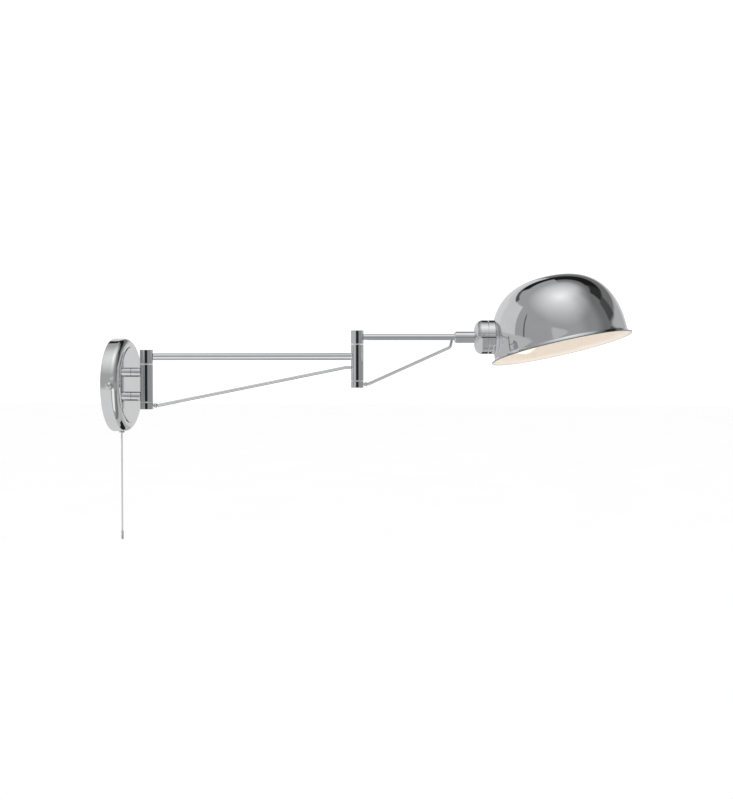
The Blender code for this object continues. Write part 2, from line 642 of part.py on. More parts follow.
stem_start = tube_2_end + 2 * FIT
stem_end = stem_start + STEM_LENGTH
stem_section = tube_profile(ARM_2_TUBE_RADIUS, STEM_BORE, stem_start, stem_end)
turned("swivel_stem", stem_section, "zinc_steel", (0, 0, 0), ALONG_X, head, 24)

cup_corner = (CUP_RADIUS - CUP_ROUND, CUP_START + CUP_ROUND)
cup_outside = [(sleeve_bore, CUP_START), *arc(cup_corner, CUP_ROUND, -90, 0, 6), (CUP_RADIUS, CUP_END)]
cup_inside = [
    (CUP_RADIUS - CUP_WALL, CUP_END), *arc(cup_corner, CUP_ROUND - CUP_WALL, 0, -90, 4),
    (sleeve_bore, CUP_START + CUP_WALL),
]
cup = turned("socket_cup", cup_outside + cup_inside, "chrome", (0, 0, 0), ALONG_X, head, 40)

stem_nut_x = CUP_START + CUP_WALL + FIT
stem_nut = prism(
    "stem_nut", hexagon(STEM_NUT_FLATS), STEM_NUT_THICKNESS, "zinc_steel", (stem_nut_x, 0, 0),
    ALONG_X, head, bevel=0.0003,
)
drill(stem_nut, ARM_2_TUBE_RADIUS + FIT, (stem_nut_x - 0.005, 0, 0), ALONG_X, 0.02, head)

# Set screw through the side of the cup that holds the lampholder
cup_screw_x = CUP_START + CUP_SCREW_BACK
cup_screw_section = [
    (0.0, HOLDER_RADIUS + FIT), (SET_SCREW_RADIUS, HOLDER_RADIUS + FIT),
    (SET_SCREW_RADIUS, CUP_RADIUS - 0.0002), (0.0, CUP_RADIUS - 0.0002),
]
turned(
    "cup_set_screw", cup_screw_section, "zinc_steel", (cup_screw_x, 0, 0), TOWARDS_MINUS_Y, head, 20
)
drill(cup, SET_SCREW_RADIUS + FIT, (cup_screw_x, 0, 0), TOWARDS_MINUS_Y, 2 * CUP_RADIUS, head)

# ---- Shade ------------------------------------------------------------------------------

SHADE_ROTATION = (0.0, math.radians(-SHADE_PITCH_DEG), 0.0)


def dome_outline(radius, height, lowest, steps):
    """Superellipse from just above the rim to the top, heights measured from the rim."""
    found = []
    start = math.asin((lowest / height) ** (SHADE_POWER / 2))
    for step in range(steps + 1):
        angle = start + (math.pi / 2 - start) * step / steps
        across = max(0.0, math.cos(angle)) ** (2 / SHADE_POWER)
        up = math.sin(angle) ** (2 / SHADE_POWER)
        found.append((0.0 if step == steps else radius * across, height * up))
    return found


def shade_side(offset, steps):
    """The shade's skin from the edge of its flared lip to its top, offset inwards."""
    radius = SHADE_RADIUS - offset
    lip_centre = (LIP_RADIUS, LIP_FLARE + SHADE_WALL + FIT)
    lip = arc(lip_centre, LIP_FLARE + offset, 270, 190, 5)
    dome = dome_outline(radius, SHADE_HEIGHT - offset, lip_centre[1] + 0.006, steps)
    return [(r, z + RIM_Z) for r, z in lip + dome]


shade_section = shade_side(0.0, 14)[::-1] + shade_side(SHADE_WALL, 11)
shade = turned(
    "dome_shade", shade_section, "chrome", (SHADE_REACH, 0, 0), SHADE_ROTATION, head, FINE
)
drill(shade, HOLDER_RADIUS + FIT, (CUP_START, 0, 0), ALONG_X, SHADE_REACH - CUP_START, head)

# Collar: a ring in the cup's mouth whose free end is shaped to the shade
collar_bore = HOLDER_RADIUS + 2 * CUP_WALL
spigot = CUP_RADIUS - CUP_WALL - FIT
collar_shoulder = CUP_END + GROOVE
collar_section = [
    (collar_bore, CUP_END - COLLAR_SPIGOT), (spigot, CUP_END - COLLAR_SPIGOT),
    (spigot, collar_shoulder), (CUP_RADIUS, collar_shoulder), (CUP_RADIUS, SHADE_REACH * 0.75),
    (collar_bore, SHADE_REACH * 0.75),
]
collar = turned("shade_collar", collar_section, "chrome", (0, 0, 0), ALONG_X, head, 40)
blank_dome = [
    (r + FIT if r else 0.0, z + RIM_Z + FIT)
    for r, z in dome_outline(SHADE_RADIUS, SHADE_HEIGHT, LIP_FLARE / 3, 20)
]
blank_section = [(0.0, RIM_Z - 0.02), (SHADE_RADIUS + FIT, RIM_Z - 0.02), *blank_dome]
dome_blank = turned(
    "dome blank", blank_section, "chrome", (SHADE_REACH, 0, 0), SHADE_ROTATION, head, 72
)
cut(collar, dome_blank)

# ---- Lampholder and bulb ------------------------------------------------------------------

holder_inner = HOLDER_RADIUS - HOLDER_WALL
holder_section = [
    (0.0, HOLDER_START), (HOLDER_RADIUS, HOLDER_START), (HOLDER_RADIUS, HOLDER_END),
    (holder_inner, HOLDER_END), (holder_inner, HOLDER_START + 2 * HOLDER_WALL),
    (0.0, HOLDER_START + 2 * HOLDER_WALL),
]
turned("lampholder", holder_section, "porcelain", (0, 0, 0), ALONG_X, head)

contact_x = HOLDER_START + 2 * HOLDER_WALL + FIT + CONTACT_SIZE[0] / 2
block("centre_contact", CONTACT_SIZE, "copper", (contact_x, 0, 0), head, 0.0004)

shell_outer = holder_inner - FIT
shell_inner = shell_outer - SCREW_SHELL_WALL
base_start = HOLDER_START + 2 * HOLDER_WALL + CONTACT_SIZE[0] + 2 * FIT
shell_section = tube_profile(shell_outer, shell_inner, base_start + 0.002, HOLDER_END - 0.001)
turned("screw_shell", shell_section, "brass", (0, 0, 0), ALONG_X, head)

base_radius = shell_inner - FIT
base_end = base_start + BULB_BASE_LENGTH
base_section = [
    (0.0, base_start), (0.004, base_start), (0.006, base_start + 0.002),
    (base_radius, base_start + 0.004), (base_radius, base_end), (0.0, base_end),
]
turned("bulb_base", base_section, "brass", (0, 0, 0), ALONG_X, head)


def globe_skin(offset):
    """The neck and globe's half section, from the neck's open end to the tip on the axis."""
    globe_x = base_end + BULB_NECK_LENGTH + BULB_RADIUS * 0.86
    radius = BULB_RADIUS - offset
    start = 180 - math.degrees(math.asin((BULB_NECK_RADIUS - offset) / radius))
    found = [(BULB_NECK_RADIUS - offset, base_end + FIT)]
    for x, r in arc((globe_x, 0.0), radius, start, 0, 11):
        found.append((r, x))
    found[-1] = (0.0, globe_x + radius)
    return found


globe_section = globe_skin(0.0)[::-1] + globe_skin(BULB_GLASS)
turned("bulb_globe", globe_section, "frosted_glass", (0, 0, 0), ALONG_X, head)

# Ring nut on the lampholder's thread, inside the shade
wall_x = SHADE_REACH - SHADE_RADIUS
ring_nut_x = wall_x + SHADE_WALL + RING_NUT_STANDOFF
ring_nut_section = tube_profile(
    RING_NUT_RADIUS, HOLDER_RADIUS + FIT, ring_nut_x, ring_nut_x + RING_NUT_THICKNESS
)
turned("shade_ring_nut", ring_nut_section, "white_plastic", (0, 0, 0), ALONG_X, head)
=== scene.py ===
import json
import math

import bmesh
import bpy
from mathutils import Matrix, Vector


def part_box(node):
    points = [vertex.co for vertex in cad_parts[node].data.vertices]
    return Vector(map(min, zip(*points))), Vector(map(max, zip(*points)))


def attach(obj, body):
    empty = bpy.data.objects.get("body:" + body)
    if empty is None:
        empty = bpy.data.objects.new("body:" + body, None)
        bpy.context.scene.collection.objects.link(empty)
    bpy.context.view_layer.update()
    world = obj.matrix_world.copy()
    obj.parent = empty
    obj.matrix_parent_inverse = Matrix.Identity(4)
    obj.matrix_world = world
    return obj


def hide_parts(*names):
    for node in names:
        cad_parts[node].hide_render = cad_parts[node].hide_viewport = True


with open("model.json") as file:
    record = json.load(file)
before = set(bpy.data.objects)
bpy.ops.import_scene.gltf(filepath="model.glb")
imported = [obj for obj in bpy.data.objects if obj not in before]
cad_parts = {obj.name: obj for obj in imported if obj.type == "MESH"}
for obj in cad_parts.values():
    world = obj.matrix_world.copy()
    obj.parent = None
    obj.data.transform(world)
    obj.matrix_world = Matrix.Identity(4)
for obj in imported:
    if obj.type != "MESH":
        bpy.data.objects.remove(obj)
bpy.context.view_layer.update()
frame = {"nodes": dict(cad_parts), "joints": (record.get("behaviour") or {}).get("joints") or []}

# ---- Camera -------------------------------------------------------------------------
# The lamp is seen from its right side, a little above the middle of the canopy and from
# well back, so that both arms and the shade show at their full length.

view = bpy.data.cameras.new("camera")
view.lens = 62.78
view.sensor_width = 36.0
view.clip_end = 60.0
camera = bpy.data.objects.new("camera", view)
camera.location = (0.559, -1.748, 0.045)
camera.rotation_euler = (math.radians(87.95), 0.0, math.radians(7.5))
bpy.context.scene.collection.objects.link(camera)
bpy.context.scene.camera = camera

# ---- Pull cord ----------------------------------------------------------------------
# A thin braided cord that works the switch. It hangs straight down from the switch's
# plunger, out through a bushing in the canopy's rim, and ends in a crimped metal ferrule.

CORD_X = 0.0092
CORD_TOP = -0.0620
CORD_END = -0.1890
CORD_THICKNESS = 0.0022
CORD_POINTS = 24
FERRULE_LENGTH = 0.0110


def mottled(name, pale, dark, metallic, smooth, dull, grain, relief, stretch=(1, 1, 1)):
    """A finish whose colour and dullness wander a little over the piece, over a fine relief."""
    material = bpy.data.materials.new(name)
    material.use_nodes = True
    nodes = material.node_tree.nodes
    links = material.node_tree.links
    shader = nodes["Principled BSDF"]
    shader.inputs["Metallic"].default_value = metallic
    where = nodes.new("ShaderNodeTexCoord")
    scale = nodes.new("ShaderNodeMapping")
    scale.inputs["Scale"].default_value = stretch
    cloud = nodes.new("ShaderNodeTexNoise")
    cloud.inputs["Scale"].default_value = grain
    cloud.inputs["Detail"].default_value = 3.0
    tint = nodes.new("ShaderNodeValToRGB")
    tint.color_ramp.elements[0].position = 0.35
    tint.color_ramp.elements[1].position = 0.65
    tint.color_ramp.elements[0].color = (*dark, 1.0)
    tint.color_ramp.elements[1].color = (*pale, 1.0)
    wear = nodes.new("ShaderNodeMapRange")
    wear.inputs["From Min"].default_value = 0.3
    wear.inputs["From Max"].default_value = 0.7
    wear.inputs["To Min"].default_value = smooth
    wear.inputs["To Max"].default_value = dull
    links.new(where.outputs["Object"], scale.inputs["Vector"])
    links.new(scale.outputs["Vector"], cloud.inputs["Vector"])
    links.new(cloud.outputs["Fac"], tint.inputs["Fac"])
    links.new(cloud.outputs["Fac"], wear.inputs["Value"])
    links.new(tint.outputs["Color"], shader.inputs["Base Color"])
    links.new(wear.outputs["Result"], shader.inputs["Roughness"])
    if relief:
        bump = nodes.new("ShaderNodeBump")
        bump.inputs["Strength"].default_value = relief
        bump.inputs["Distance"].default_value = 0.0002
        links.new(cloud.outputs["Fac"], bump.inputs["Height"])
        links.new(bump.outputs["Normal"], shader.inputs["Normal"])
    return material


def braided(name, pale, dark, pitch):
    """Fine crossed yarns, by two sets of slanting waves."""
    material = mottled(name, pale, dark, 0.0, 0.55, 0.7, 900, 0.0)
    nodes = material.node_tree.nodes
    links = material.node_tree.links
    where = nodes.new("ShaderNodeTexCoord")
    heights = []
    for slant in (35.0, -35.0):
        turn = nodes.new("ShaderNodeMapping")
        turn.inputs["Rotation"].default_value = (math.radians(slant), math.radians(slant), 0.0)
        waves = nodes.new("ShaderNodeTexWave")
        waves.bands_direction = "Z"
        waves.inputs["Scale"].default_value = pitch
        links.new(where.outputs["Object"], turn.inputs["Vector"])
        links.new(turn.outputs["Vector"], waves.inputs["Vector"])
        heights.append(waves)
    crossed = nodes.new("ShaderNodeMath")
    crossed.operation = "MAXIMUM"
    bump = nodes.new("ShaderNodeBump")
    bump.inputs["Strength"].default_value = 0.6
    bump.inputs["Distance"].default_value = 0.0002
    links.new(heights[0].outputs["Fac"], crossed.inputs[0])
    links.new(heights[1].outputs["Fac"], crossed.inputs[1])
    links.new(crossed.outputs["Value"], bump.inputs["Height"])
    links.new(bump.outputs["Normal"], nodes["Principled BSDF"].inputs["Normal"])
    return material


def evenly_shaded(name, maker, sharp):
    """The finished mesh as an object. Large faces keep their own shading beside small edges."""
    bmesh.ops.recalc_face_normals(maker, faces=maker.faces)
    mesh = bpy.data.meshes.new(name)
    maker.to_mesh(mesh)
    maker.free()
    mesh.shade_smooth()
    mesh.set_sharp_from_angle(angle=math.radians(sharp))
    piece = bpy.data.objects.new(name, mesh)
    bpy.context.scene.collection.objects.link(piece)
    shading = piece.modifiers.new("even_shading", "WEIGHTED_NORMAL")
    shading.keep_sharp = True
    return piece


def lathe(name, points, sides, closed=False, shape=None):
    """A mesh turned about Z from (radius, height) points. shape may change a radius by angle."""
    maker = bmesh.new()
    rings = []
    for radius, height in points:
        if radius < 1e-7:
            rings.append([maker.verts.new((0.0, 0.0, height))] * sides)
            continue
        ring = []
        for i in range(sides):
            angle = math.tau * i / sides
            reach = shape(angle, radius, height) if shape else radius
            ring.append(maker.verts.new((reach * math.cos(angle), reach * math.sin(angle), height)))
        rings.append(ring)
    pairs = list(zip(rings, rings[1:]))
    if closed:
        pairs.append((rings[-1], rings[0]))
    for low, high in pairs:
        for i in range(sides):
            j = (i + 1) % sides
            corners = []
            for corner in (low[i], low[j], high[j], high[i]):
                if corner not in corners:
                    corners.append(corner)
            if len(corners) > 2:
                maker.faces.new(corners)
    return evenly_shaded(name, maker, 32)


def fitted(piece, place, body, slot, material, *nodes):
    """Puts a finished piece where it goes, on its body, in place of its solids."""
    piece.data.materials.append(material)
    piece.data.transform(place)
    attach(piece, body)
    if nodes:
        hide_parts(*nodes)
    return piece


BRAID = braided("braided_cord", (0.62, 0.62, 0.61), (0.52, 0.52, 0.51), 900)
CHROME = mottled("polished_chrome", (0.86, 0.87, 0.88), (0.83, 0.84, 0.86), 1.0, 0.03, 0.06, 60, 0.0)

line = bpy.data.curves.new("hanging_cord", "CURVE")
line.dimensions = "3D"
line.bevel_depth = CORD_THICKNESS / 2
line.bevel_resolution = 4
line.use_fill_caps = True
spline = line.splines.new("POLY")
spline.points.add(CORD_POINTS - 1)
for i, point in enumerate(spline.points):
    point.co = (CORD_X, 0.0, CORD_TOP + (CORD_END - CORD_TOP) * i / (CORD_POINTS - 1), 1.0)
hanging_cord = bpy.data.objects.new("hanging_cord", line)
bpy.context.scene.collection.objects.link(hanging_cord)
fitted(hanging_cord, Matrix.Identity(4), "pull", "silver_cord", BRAID, "pull_cord")

ferrule_top = CORD_END - 0.0002
ferrule_low = ferrule_top - FERRULE_LENGTH
ferrule_line = [
    (0.0, ferrule_low), (0.0013, ferrule_low), (0.0015, ferrule_low + 0.0003),
    (0.0015, ferrule_low + 0.0052), (0.00125, ferrule_low + 0.0056),
    (0.00125, ferrule_low + 0.0062), (0.0015, ferrule_low + 0.0066),
    (0.0015, ferrule_top - 0.0003), (0.0013, ferrule_top), (0.0, ferrule_top),
]
ferrule = lathe("cord_ferrule", ferrule_line, 40)
NICKEL = mottled("ferrule_nickel", (0.88, 0.88, 0.89), (0.84, 0.84, 0.85), 1.0, 0.35, 0.45, 300, 0.05)
fitted(ferrule, Matrix.Translation((CORD_X, 0, 0)), "pull", "chrome", NICKEL, "cord_tip")

# ---- Wall canopy --------------------------------------------------------------------
# A spun steel cup 120 mm across, chrome plated. Its face has a shallow raised disc, and
# its open back sits on the wall. Necks on the stubs hold it to the plate behind it.

CANOPY_RADIUS = 0.060
CANOPY_DEPTH = 0.023
CANOPY_WALL = 0.0012
RIM_DEPTH = 0.0125
FACE_STEP = 0.0014
FACE_RADIUS = 0.0492
SHOULDER_EDGE = 0.0506
ALONG_X = Matrix.Rotation(math.radians(90), 4, "Y")


def canopy_skin(inset, steps):
    """Half section of the canopy's skin, from the middle of its face to its back edge."""
    face = CANOPY_DEPTH - inset
    shoulder = face - FACE_STEP
    wide = CANOPY_RADIUS - SHOULDER_EDGE - inset
    found = [
        (0.0, face), (FACE_RADIUS - 0.0012, face), (FACE_RADIUS - 0.0006, face - 0.00012),
        (FACE_RADIUS - 0.0002, face - 0.0004), (FACE_RADIUS, face - 0.0008),
        (FACE_RADIUS + 0.0002, shoulder + 0.00012), (FACE_RADIUS + 0.0008, shoulder),
    ]
    for step in range(steps + 1):
        angle = math.radians(90 - 90 * step / steps)
        across = SHOULDER_EDGE + wide * math.cos(angle)
        found.append((across, RIM_DEPTH + (shoulder - RIM_DEPTH) * math.sin(angle)))
    found.append((CANOPY_RADIUS - inset, 0.0008))
    found.append((CANOPY_RADIUS - inset - (0.0003 if inset == 0 else 0.0), 0.0))
    return found


canopy_line = canopy_skin(0.0, 14) + canopy_skin(CANOPY_WALL, 6)[::-1]
canopy = lathe("canopy_shell", canopy_line, 144)
PLATE_CHROME = mottled("canopy_chrome", (0.95, 0.955, 0.96), (0.92, 0.93, 0.94), 1.0, 0.06, 0.09, 60, 0.0)
fitted(canopy, ALONG_X, "wall_canopy_body", "chrome", PLATE_CHROME, "wall_canopy")

# ---- Mounting bracket and side screws -------------------------------------------------
# A zinc-plated strip that is screwed to the wall box, with a lug turned out at each end.
# Two knurled thumb screws hold the canopy's rim to the lugs.

SIDE_SCREW_X = 0.0125
KNOB_RADIUS = 0.0048
KNOB_LENGTH = 0.0062
SHANK_RADIUS = 0.0016
SHANK_LENGTH = 0.0045
KNURLS = 26
ZINC = mottled("zinc_plate", (0.60, 0.61, 0.60), (0.44, 0.45, 0.47), 1.0, 0.32, 0.5, 140, 0.25)

def finished(node, material):
    """Gives a solid that is shown as it is its real finish."""
    coats = frame["nodes"][node].data.materials
    coats.clear()
    coats.append(material)


def knurled(angle, radius, height):
    """Fine ridges round the knob's grip, and none on its domed end."""
    if radius < KNOB_RADIUS * 0.985:
        return radius
    return radius * (1 + 0.025 * math.cos(KNURLS * angle))


finished("mounting_bracket", ZINC)
knob_start = CANOPY_RADIUS + 0.0002
knob_line = [
    (0.0, knob_start - SHANK_LENGTH), (SHANK_RADIUS, knob_start - SHANK_LENGTH),
    (SHANK_RADIUS, knob_start),
    (KNOB_RADIUS - 0.0008, knob_start), (KNOB_RADIUS, knob_start + 0.0007),
    (KNOB_RADIUS, knob_start + KNOB_LENGTH * 0.52),
    (KNOB_RADIUS - 0.0005, knob_start + KNOB_LENGTH * 0.6),
]
for step in range(1, 9):
    angle = math.radians(90 * step / 8)
    across = (KNOB_RADIUS - 0.0005) * math.cos(angle)
    knob_line.append((max(0.0, across), knob_start + KNOB_LENGTH * (0.6 + 0.4 * math.sin(angle))))
for side, turn in (("near", 90), ("far", -90)):
    knob = lathe(f"side_knob_{side}", knob_line, KNURLS * 4, shape=knurled)
    place = Matrix.Translation((SIDE_SCREW_X, 0, 0)) @ Matrix.Rotation(math.radians(turn), 4, "X")
    fitted(knob, place, "wall_canopy_body", "chrome", CHROME, f"side_screw_{side}")

# ---- Backing plate and its fittings -----------------------------------------------------
# A steel disc behind the canopy's face takes the lamp's weight. A hexagon nut on each
# stub's neck clamps it, and it carries the terminal block and a brass earth screw.

PLATE_BACK = 0.0195
PLATE_FRONT = 0.0215
PLATE_RADIUS = 0.042
STUB_HEIGHTS = (0.0163, -0.0147)
STUB_NUT_FLATS = 0.013
STUB_NUT_BORE = 0.0041
STUB_NUT_THICKNESS = 0.0032
CLAMP_SPACING = 0.0088
EARTH_SIDE = 0.026
BRASS = mottled("plain_brass", (0.80, 0.62, 0.30), (0.66, 0.48, 0.21), 1.0, 0.22, 0.4, 200, 0.1)
WHITE_PLASTIC = mottled("white_nylon", (0.86, 0.86, 0.83), (0.80, 0.80, 0.77), 0.0, 0.4, 0.55, 300, 0.1)
BLACK_PLASTIC = mottled("black_moulding", (0.035, 0.035, 0.037), (0.02, 0.02, 0.02), 0.0, 0.4, 0.6, 500, 0.3)


def eased(points, radius, closed=False):
    """The half section with each sharp corner rounded off, so that it catches the light."""
    count = len(points)
    done = []
    for i, point in enumerate(points):
        inner = closed or 0 < i < count - 1
        before = Vector(points[i - 1]) - Vector(point) if inner else None
        after = Vector(points[(i + 1) % count]) - Vector(point) if inner else None
        if not inner or before.length < 1e-7 or after.length < 1e-7:
            done.append(tuple(point))
            continue
        bend = math.pi - before.angle(after)
        if bend < math.radians(20):
            done.append(tuple(point))
            continue
        cut = min(radius * math.tan(bend / 2), before.length * 0.45, after.length * 0.45)
        first = Vector(point) + before.normalized() * cut
        last = Vector(point) + after.normalized() * cut
        for step in range(4):
            t = step / 3
            middle = (1 - t) ** 2 * first + 2 * t * (1 - t) * Vector(point) + t * t * last
            done.append(tuple(middle))
    return done


def hexagonal(flats):
    """A shape for lathe whose grip is a hexagon this far across its flats."""
    def reach(angle, radius, height):
        if radius < flats / 2 * 0.98:
            return radius
        turned = (angle % math.radians(60)) - math.radians(30)
        return min(radius, flats / 2 / math.cos(turned))
    return reach


def hexagon_nut(name, flats, bore, thickness):
    """A plain nut whose corners are turned off on both faces."""
    corner = flats / 2 / math.cos(math.radians(30))
    points = [
        (bore, 0.0), (flats / 2 * 0.97, 0.0), (corner, thickness * 0.16),
        (corner, thickness * 0.84), (flats / 2 * 0.97, thickness), (bore, thickness),
    ]
    return lathe(name, points, 72, closed=True, shape=hexagonal(flats))


plate_line = eased([
    (0.0, PLATE_BACK), (PLATE_RADIUS, PLATE_BACK), (PLATE_RADIUS, PLATE_FRONT), (0.0, PLATE_FRONT),
], 0.0003)
disc = lathe("steel_disc", plate_line, 96)
fitted(disc, ALONG_X, "wall_canopy_body", "zinc_steel", ZINC, "backing_plate")
for level, height in zip(("upper", "lower"), STUB_HEIGHTS):
    nut = hexagon_nut(f"{level}_clamp_nut", STUB_NUT_FLATS, STUB_NUT_BORE, STUB_NUT_THICKNESS)
    place = Matrix.Translation((PLATE_BACK - 0.0003 - STUB_NUT_THICKNESS, 0, height)) @ ALONG_X
    fitted(nut, place, "wall_canopy_body", "zinc_steel", ZINC, f"{level}_stub_nut")


def moulded_box(name, low, high, round_off):
    """A moulded block between two corners, with its edges rounded."""
    maker = bmesh.new()
    bmesh.ops.create_cube(maker, size=1.0)
    for vertex in maker.verts:
        for axis in range(3):
            vertex.co[axis] = high[axis] if vertex.co[axis] > 0 else low[axis]
    bmesh.ops.bevel(
        maker, geom=list(maker.edges), offset=round_off, segments=3, affect="EDGES", profile=0.5,
    )
    return evenly_shaded(name, maker, 40)


terminal_low, terminal_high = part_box("terminal_block")
terminal = moulded_box("terminal_strip", terminal_low, terminal_high, 0.0012)
fitted(terminal, Matrix.Identity(4), "wall_canopy_body", "white_plastic", WHITE_PLASTIC, "terminal_block")
clamp_line = eased([
    (0.0, 0.0), (0.0019, 0.0), (0.0021, 0.0003), (0.0021, 0.0012), (0.0017, 0.0016), (0.0, 0.0016),
], 0.0002)
clamp_height = (terminal_low[2] + terminal_high[2]) / 2
FACING_WALL = Matrix.Rotation(math.radians(-90), 4, "Y")
for number, across in enumerate((-CLAMP_SPACING, 0.0, CLAMP_SPACING), 1):
    clamp = lathe(f"terminal_screw_{number}", clamp_line, 32)
    place = Matrix.Translation((terminal_low[0] + 0.0006, across, clamp_height)) @ FACING_WALL
    fitted(clamp, place, "wall_canopy_body", "brass", BRASS)
earth_line = eased([
    (0.0, 0.0), (0.0028, 0.0), (0.0035, 0.0007), (0.0035, 0.0018), (0.0016, 0.0018),
    (0.0016, 0.0034), (0.0, 0.0034),
], 0.0002)
earth = lathe("earth_terminal", earth_line, 40)
place = Matrix.Translation((PLATE_BACK - 0.0021, EARTH_SIDE, 0)) @ ALONG_X
fitted(earth, place, "wall_canopy_body", "brass", BRASS, "earth_screw")

# ---- Pull switch and bushing ------------------------------------------------------------
# A small black switch behind the rim. Its plunger passes through a chromed bushing, which
# is pushed up through the rim and keeps the cord off the metal's edge.

switch_low, switch_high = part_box("pull_switch")
switch_case = moulded_box("switch_case", switch_low, switch_high, 0.0014)
fitted(switch_case, Matrix.Identity(4), "wall_canopy_body", "black_plastic", BLACK_PLASTIC, "pull_switch")
bushing_line = eased([
    (0.0015, -0.0617), (0.0031, -0.0617), (0.0036, -0.0611), (0.0036, -0.0603),
    (0.0026, -0.0603), (0.0026, -0.0558), (0.0015, -0.0558),
], 0.0003, closed=True)
bushing = lathe("rim_bushing", bushing_line, 48, closed=True)
fitted(bushing, Matrix.Translation((CORD_X, 0, 0)), "wall_canopy_body", "chrome", CHROME, "cord_bushing")
finished("switch_plunger", ZINC)

# ---- Stand-off stubs --------------------------------------------------------------------
# Two short turned bars, one above the other, that hold the first post off the canopy.
# Their outer ends are scooped to fit round the post.

POST_RADIUS = 0.0085
STUB_RADIUS = 0.006
STUB_BORE = 0.002
STUB_NECK = 0.004
NECK_BORE = 0.0022
NECK_START = 0.0148
POST_1 = Vector(next(j["pos_m"] for j in frame["joints"] if j["name"] == "arm_swing"))


def scooped_bar(name, radius, bore, start, end, start_scoop, end_scoop, sides=64):
    """A hollow bar along X. A scooped end hugs an upright post whose axis is at that end."""
    maker = bmesh.new()
    rings = []
    gap = 0.0002
    edge = 0.0002
    rounds = (
        (radius - edge, 0.0, False), (radius, edge, False), (radius, -edge, True),
        (radius - edge, 0.0, True), (bore, 0.0, True), (bore, 0.0, False),
    )
    for reach, shift, at_end in rounds:
        ring = []
        for i in range(sides):
            angle = math.tau * i / sides
            y = reach * math.cos(angle)
            hug = math.sqrt((POST_RADIUS + gap) ** 2 - y * y)
            if at_end:
                x = end + shift - (hug if end_scoop else 0.0)
            else:
                x = start + shift + (hug if start_scoop else 0.0)
            ring.append(maker.verts.new((x, y, reach * math.sin(angle))))
        rings.append(ring)
    for low, high in zip(rings, rings[1:] + rings[:1]):
        for i in range(sides):
            j = (i + 1) % sides
            maker.faces.new((low[i], low[j], high[j], high[i]))
    return evenly_shaded(name, maker, 40)


neck_end = CANOPY_DEPTH - 0.0003
neck_line = eased([
    (NECK_BORE, NECK_START), (STUB_NECK, NECK_START), (STUB_NECK, neck_end), (NECK_BORE, neck_end),
], 0.0003, closed=True)
for level, height in zip(("upper", "lower"), STUB_HEIGHTS):
    shoulder = scooped_bar(
        f"{level}_standoff", STUB_RADIUS, STUB_BORE, CANOPY_DEPTH + 0.0001, POST_1.x, False, True
    )
    place = Matrix.Translation((0, 0, height))
    fitted(shoulder, place, "wall_canopy_body", "chrome", CHROME, f"{level}_stub")
    neck = lathe(f"{level}_standoff_neck", neck_line, 40, closed=True)
    fitted(neck, place @ ALONG_X, "wall_canopy_body", "chrome", CHROME)

# ---- Hinge posts ------------------------------------------------------------------------
# Both posts are alike: a fixed barrel between two knuckles that turn with the next arm.
# A bolt runs through all three, with a nylon washer in each joint.

POST_TOP = 0.0454
UPPER_SEAM = 0.0269
LOWER_SEAM = -0.0221
POST_BOTTOM = -0.0313
HALF_SEAM = 0.0007
RECESS_DEPTH = 0.0028
BOLT_RADIUS = 0.0055
BOLT_HEAD = 0.0022
BOLT_SHANK = 0.0037
POST_BORE = 0.0040
WASHER_RADIUS = 0.0083
HALF_WASHER = 0.0004
NYLON = mottled("nylon_washer", (0.62, 0.62, 0.60), (0.54, 0.54, 0.52), 0.0, 0.4, 0.55, 400, 0.1)


def ring_section(outer, inner, low, high, edge=0.0003):
    """The section of a plain ring, with its edges broken."""
    return eased([(inner, low), (outer, low), (outer, high), (inner, high)], edge, closed=True)


def key_socket(within):
    """A shape for lathe that draws all inside this radius in to a hexagon, for a key."""
    def reach(angle, radius, height):
        if radius > within:
            return radius
        turned = (angle % math.radians(60)) - math.radians(30)
        return radius * math.cos(math.radians(30)) / math.cos(turned)
    return reach


def barrel(number, place, body):
    """The fixed middle of a post."""
    section = ring_section(POST_RADIUS, POST_BORE, LOWER_SEAM + HALF_SEAM, UPPER_SEAM - HALF_SEAM)
    tube = lathe(f"hinge_{number}_barrel", section, 96, closed=True)
    fitted(tube, place, body, "chrome", CHROME, f"post_{number}_barrel")


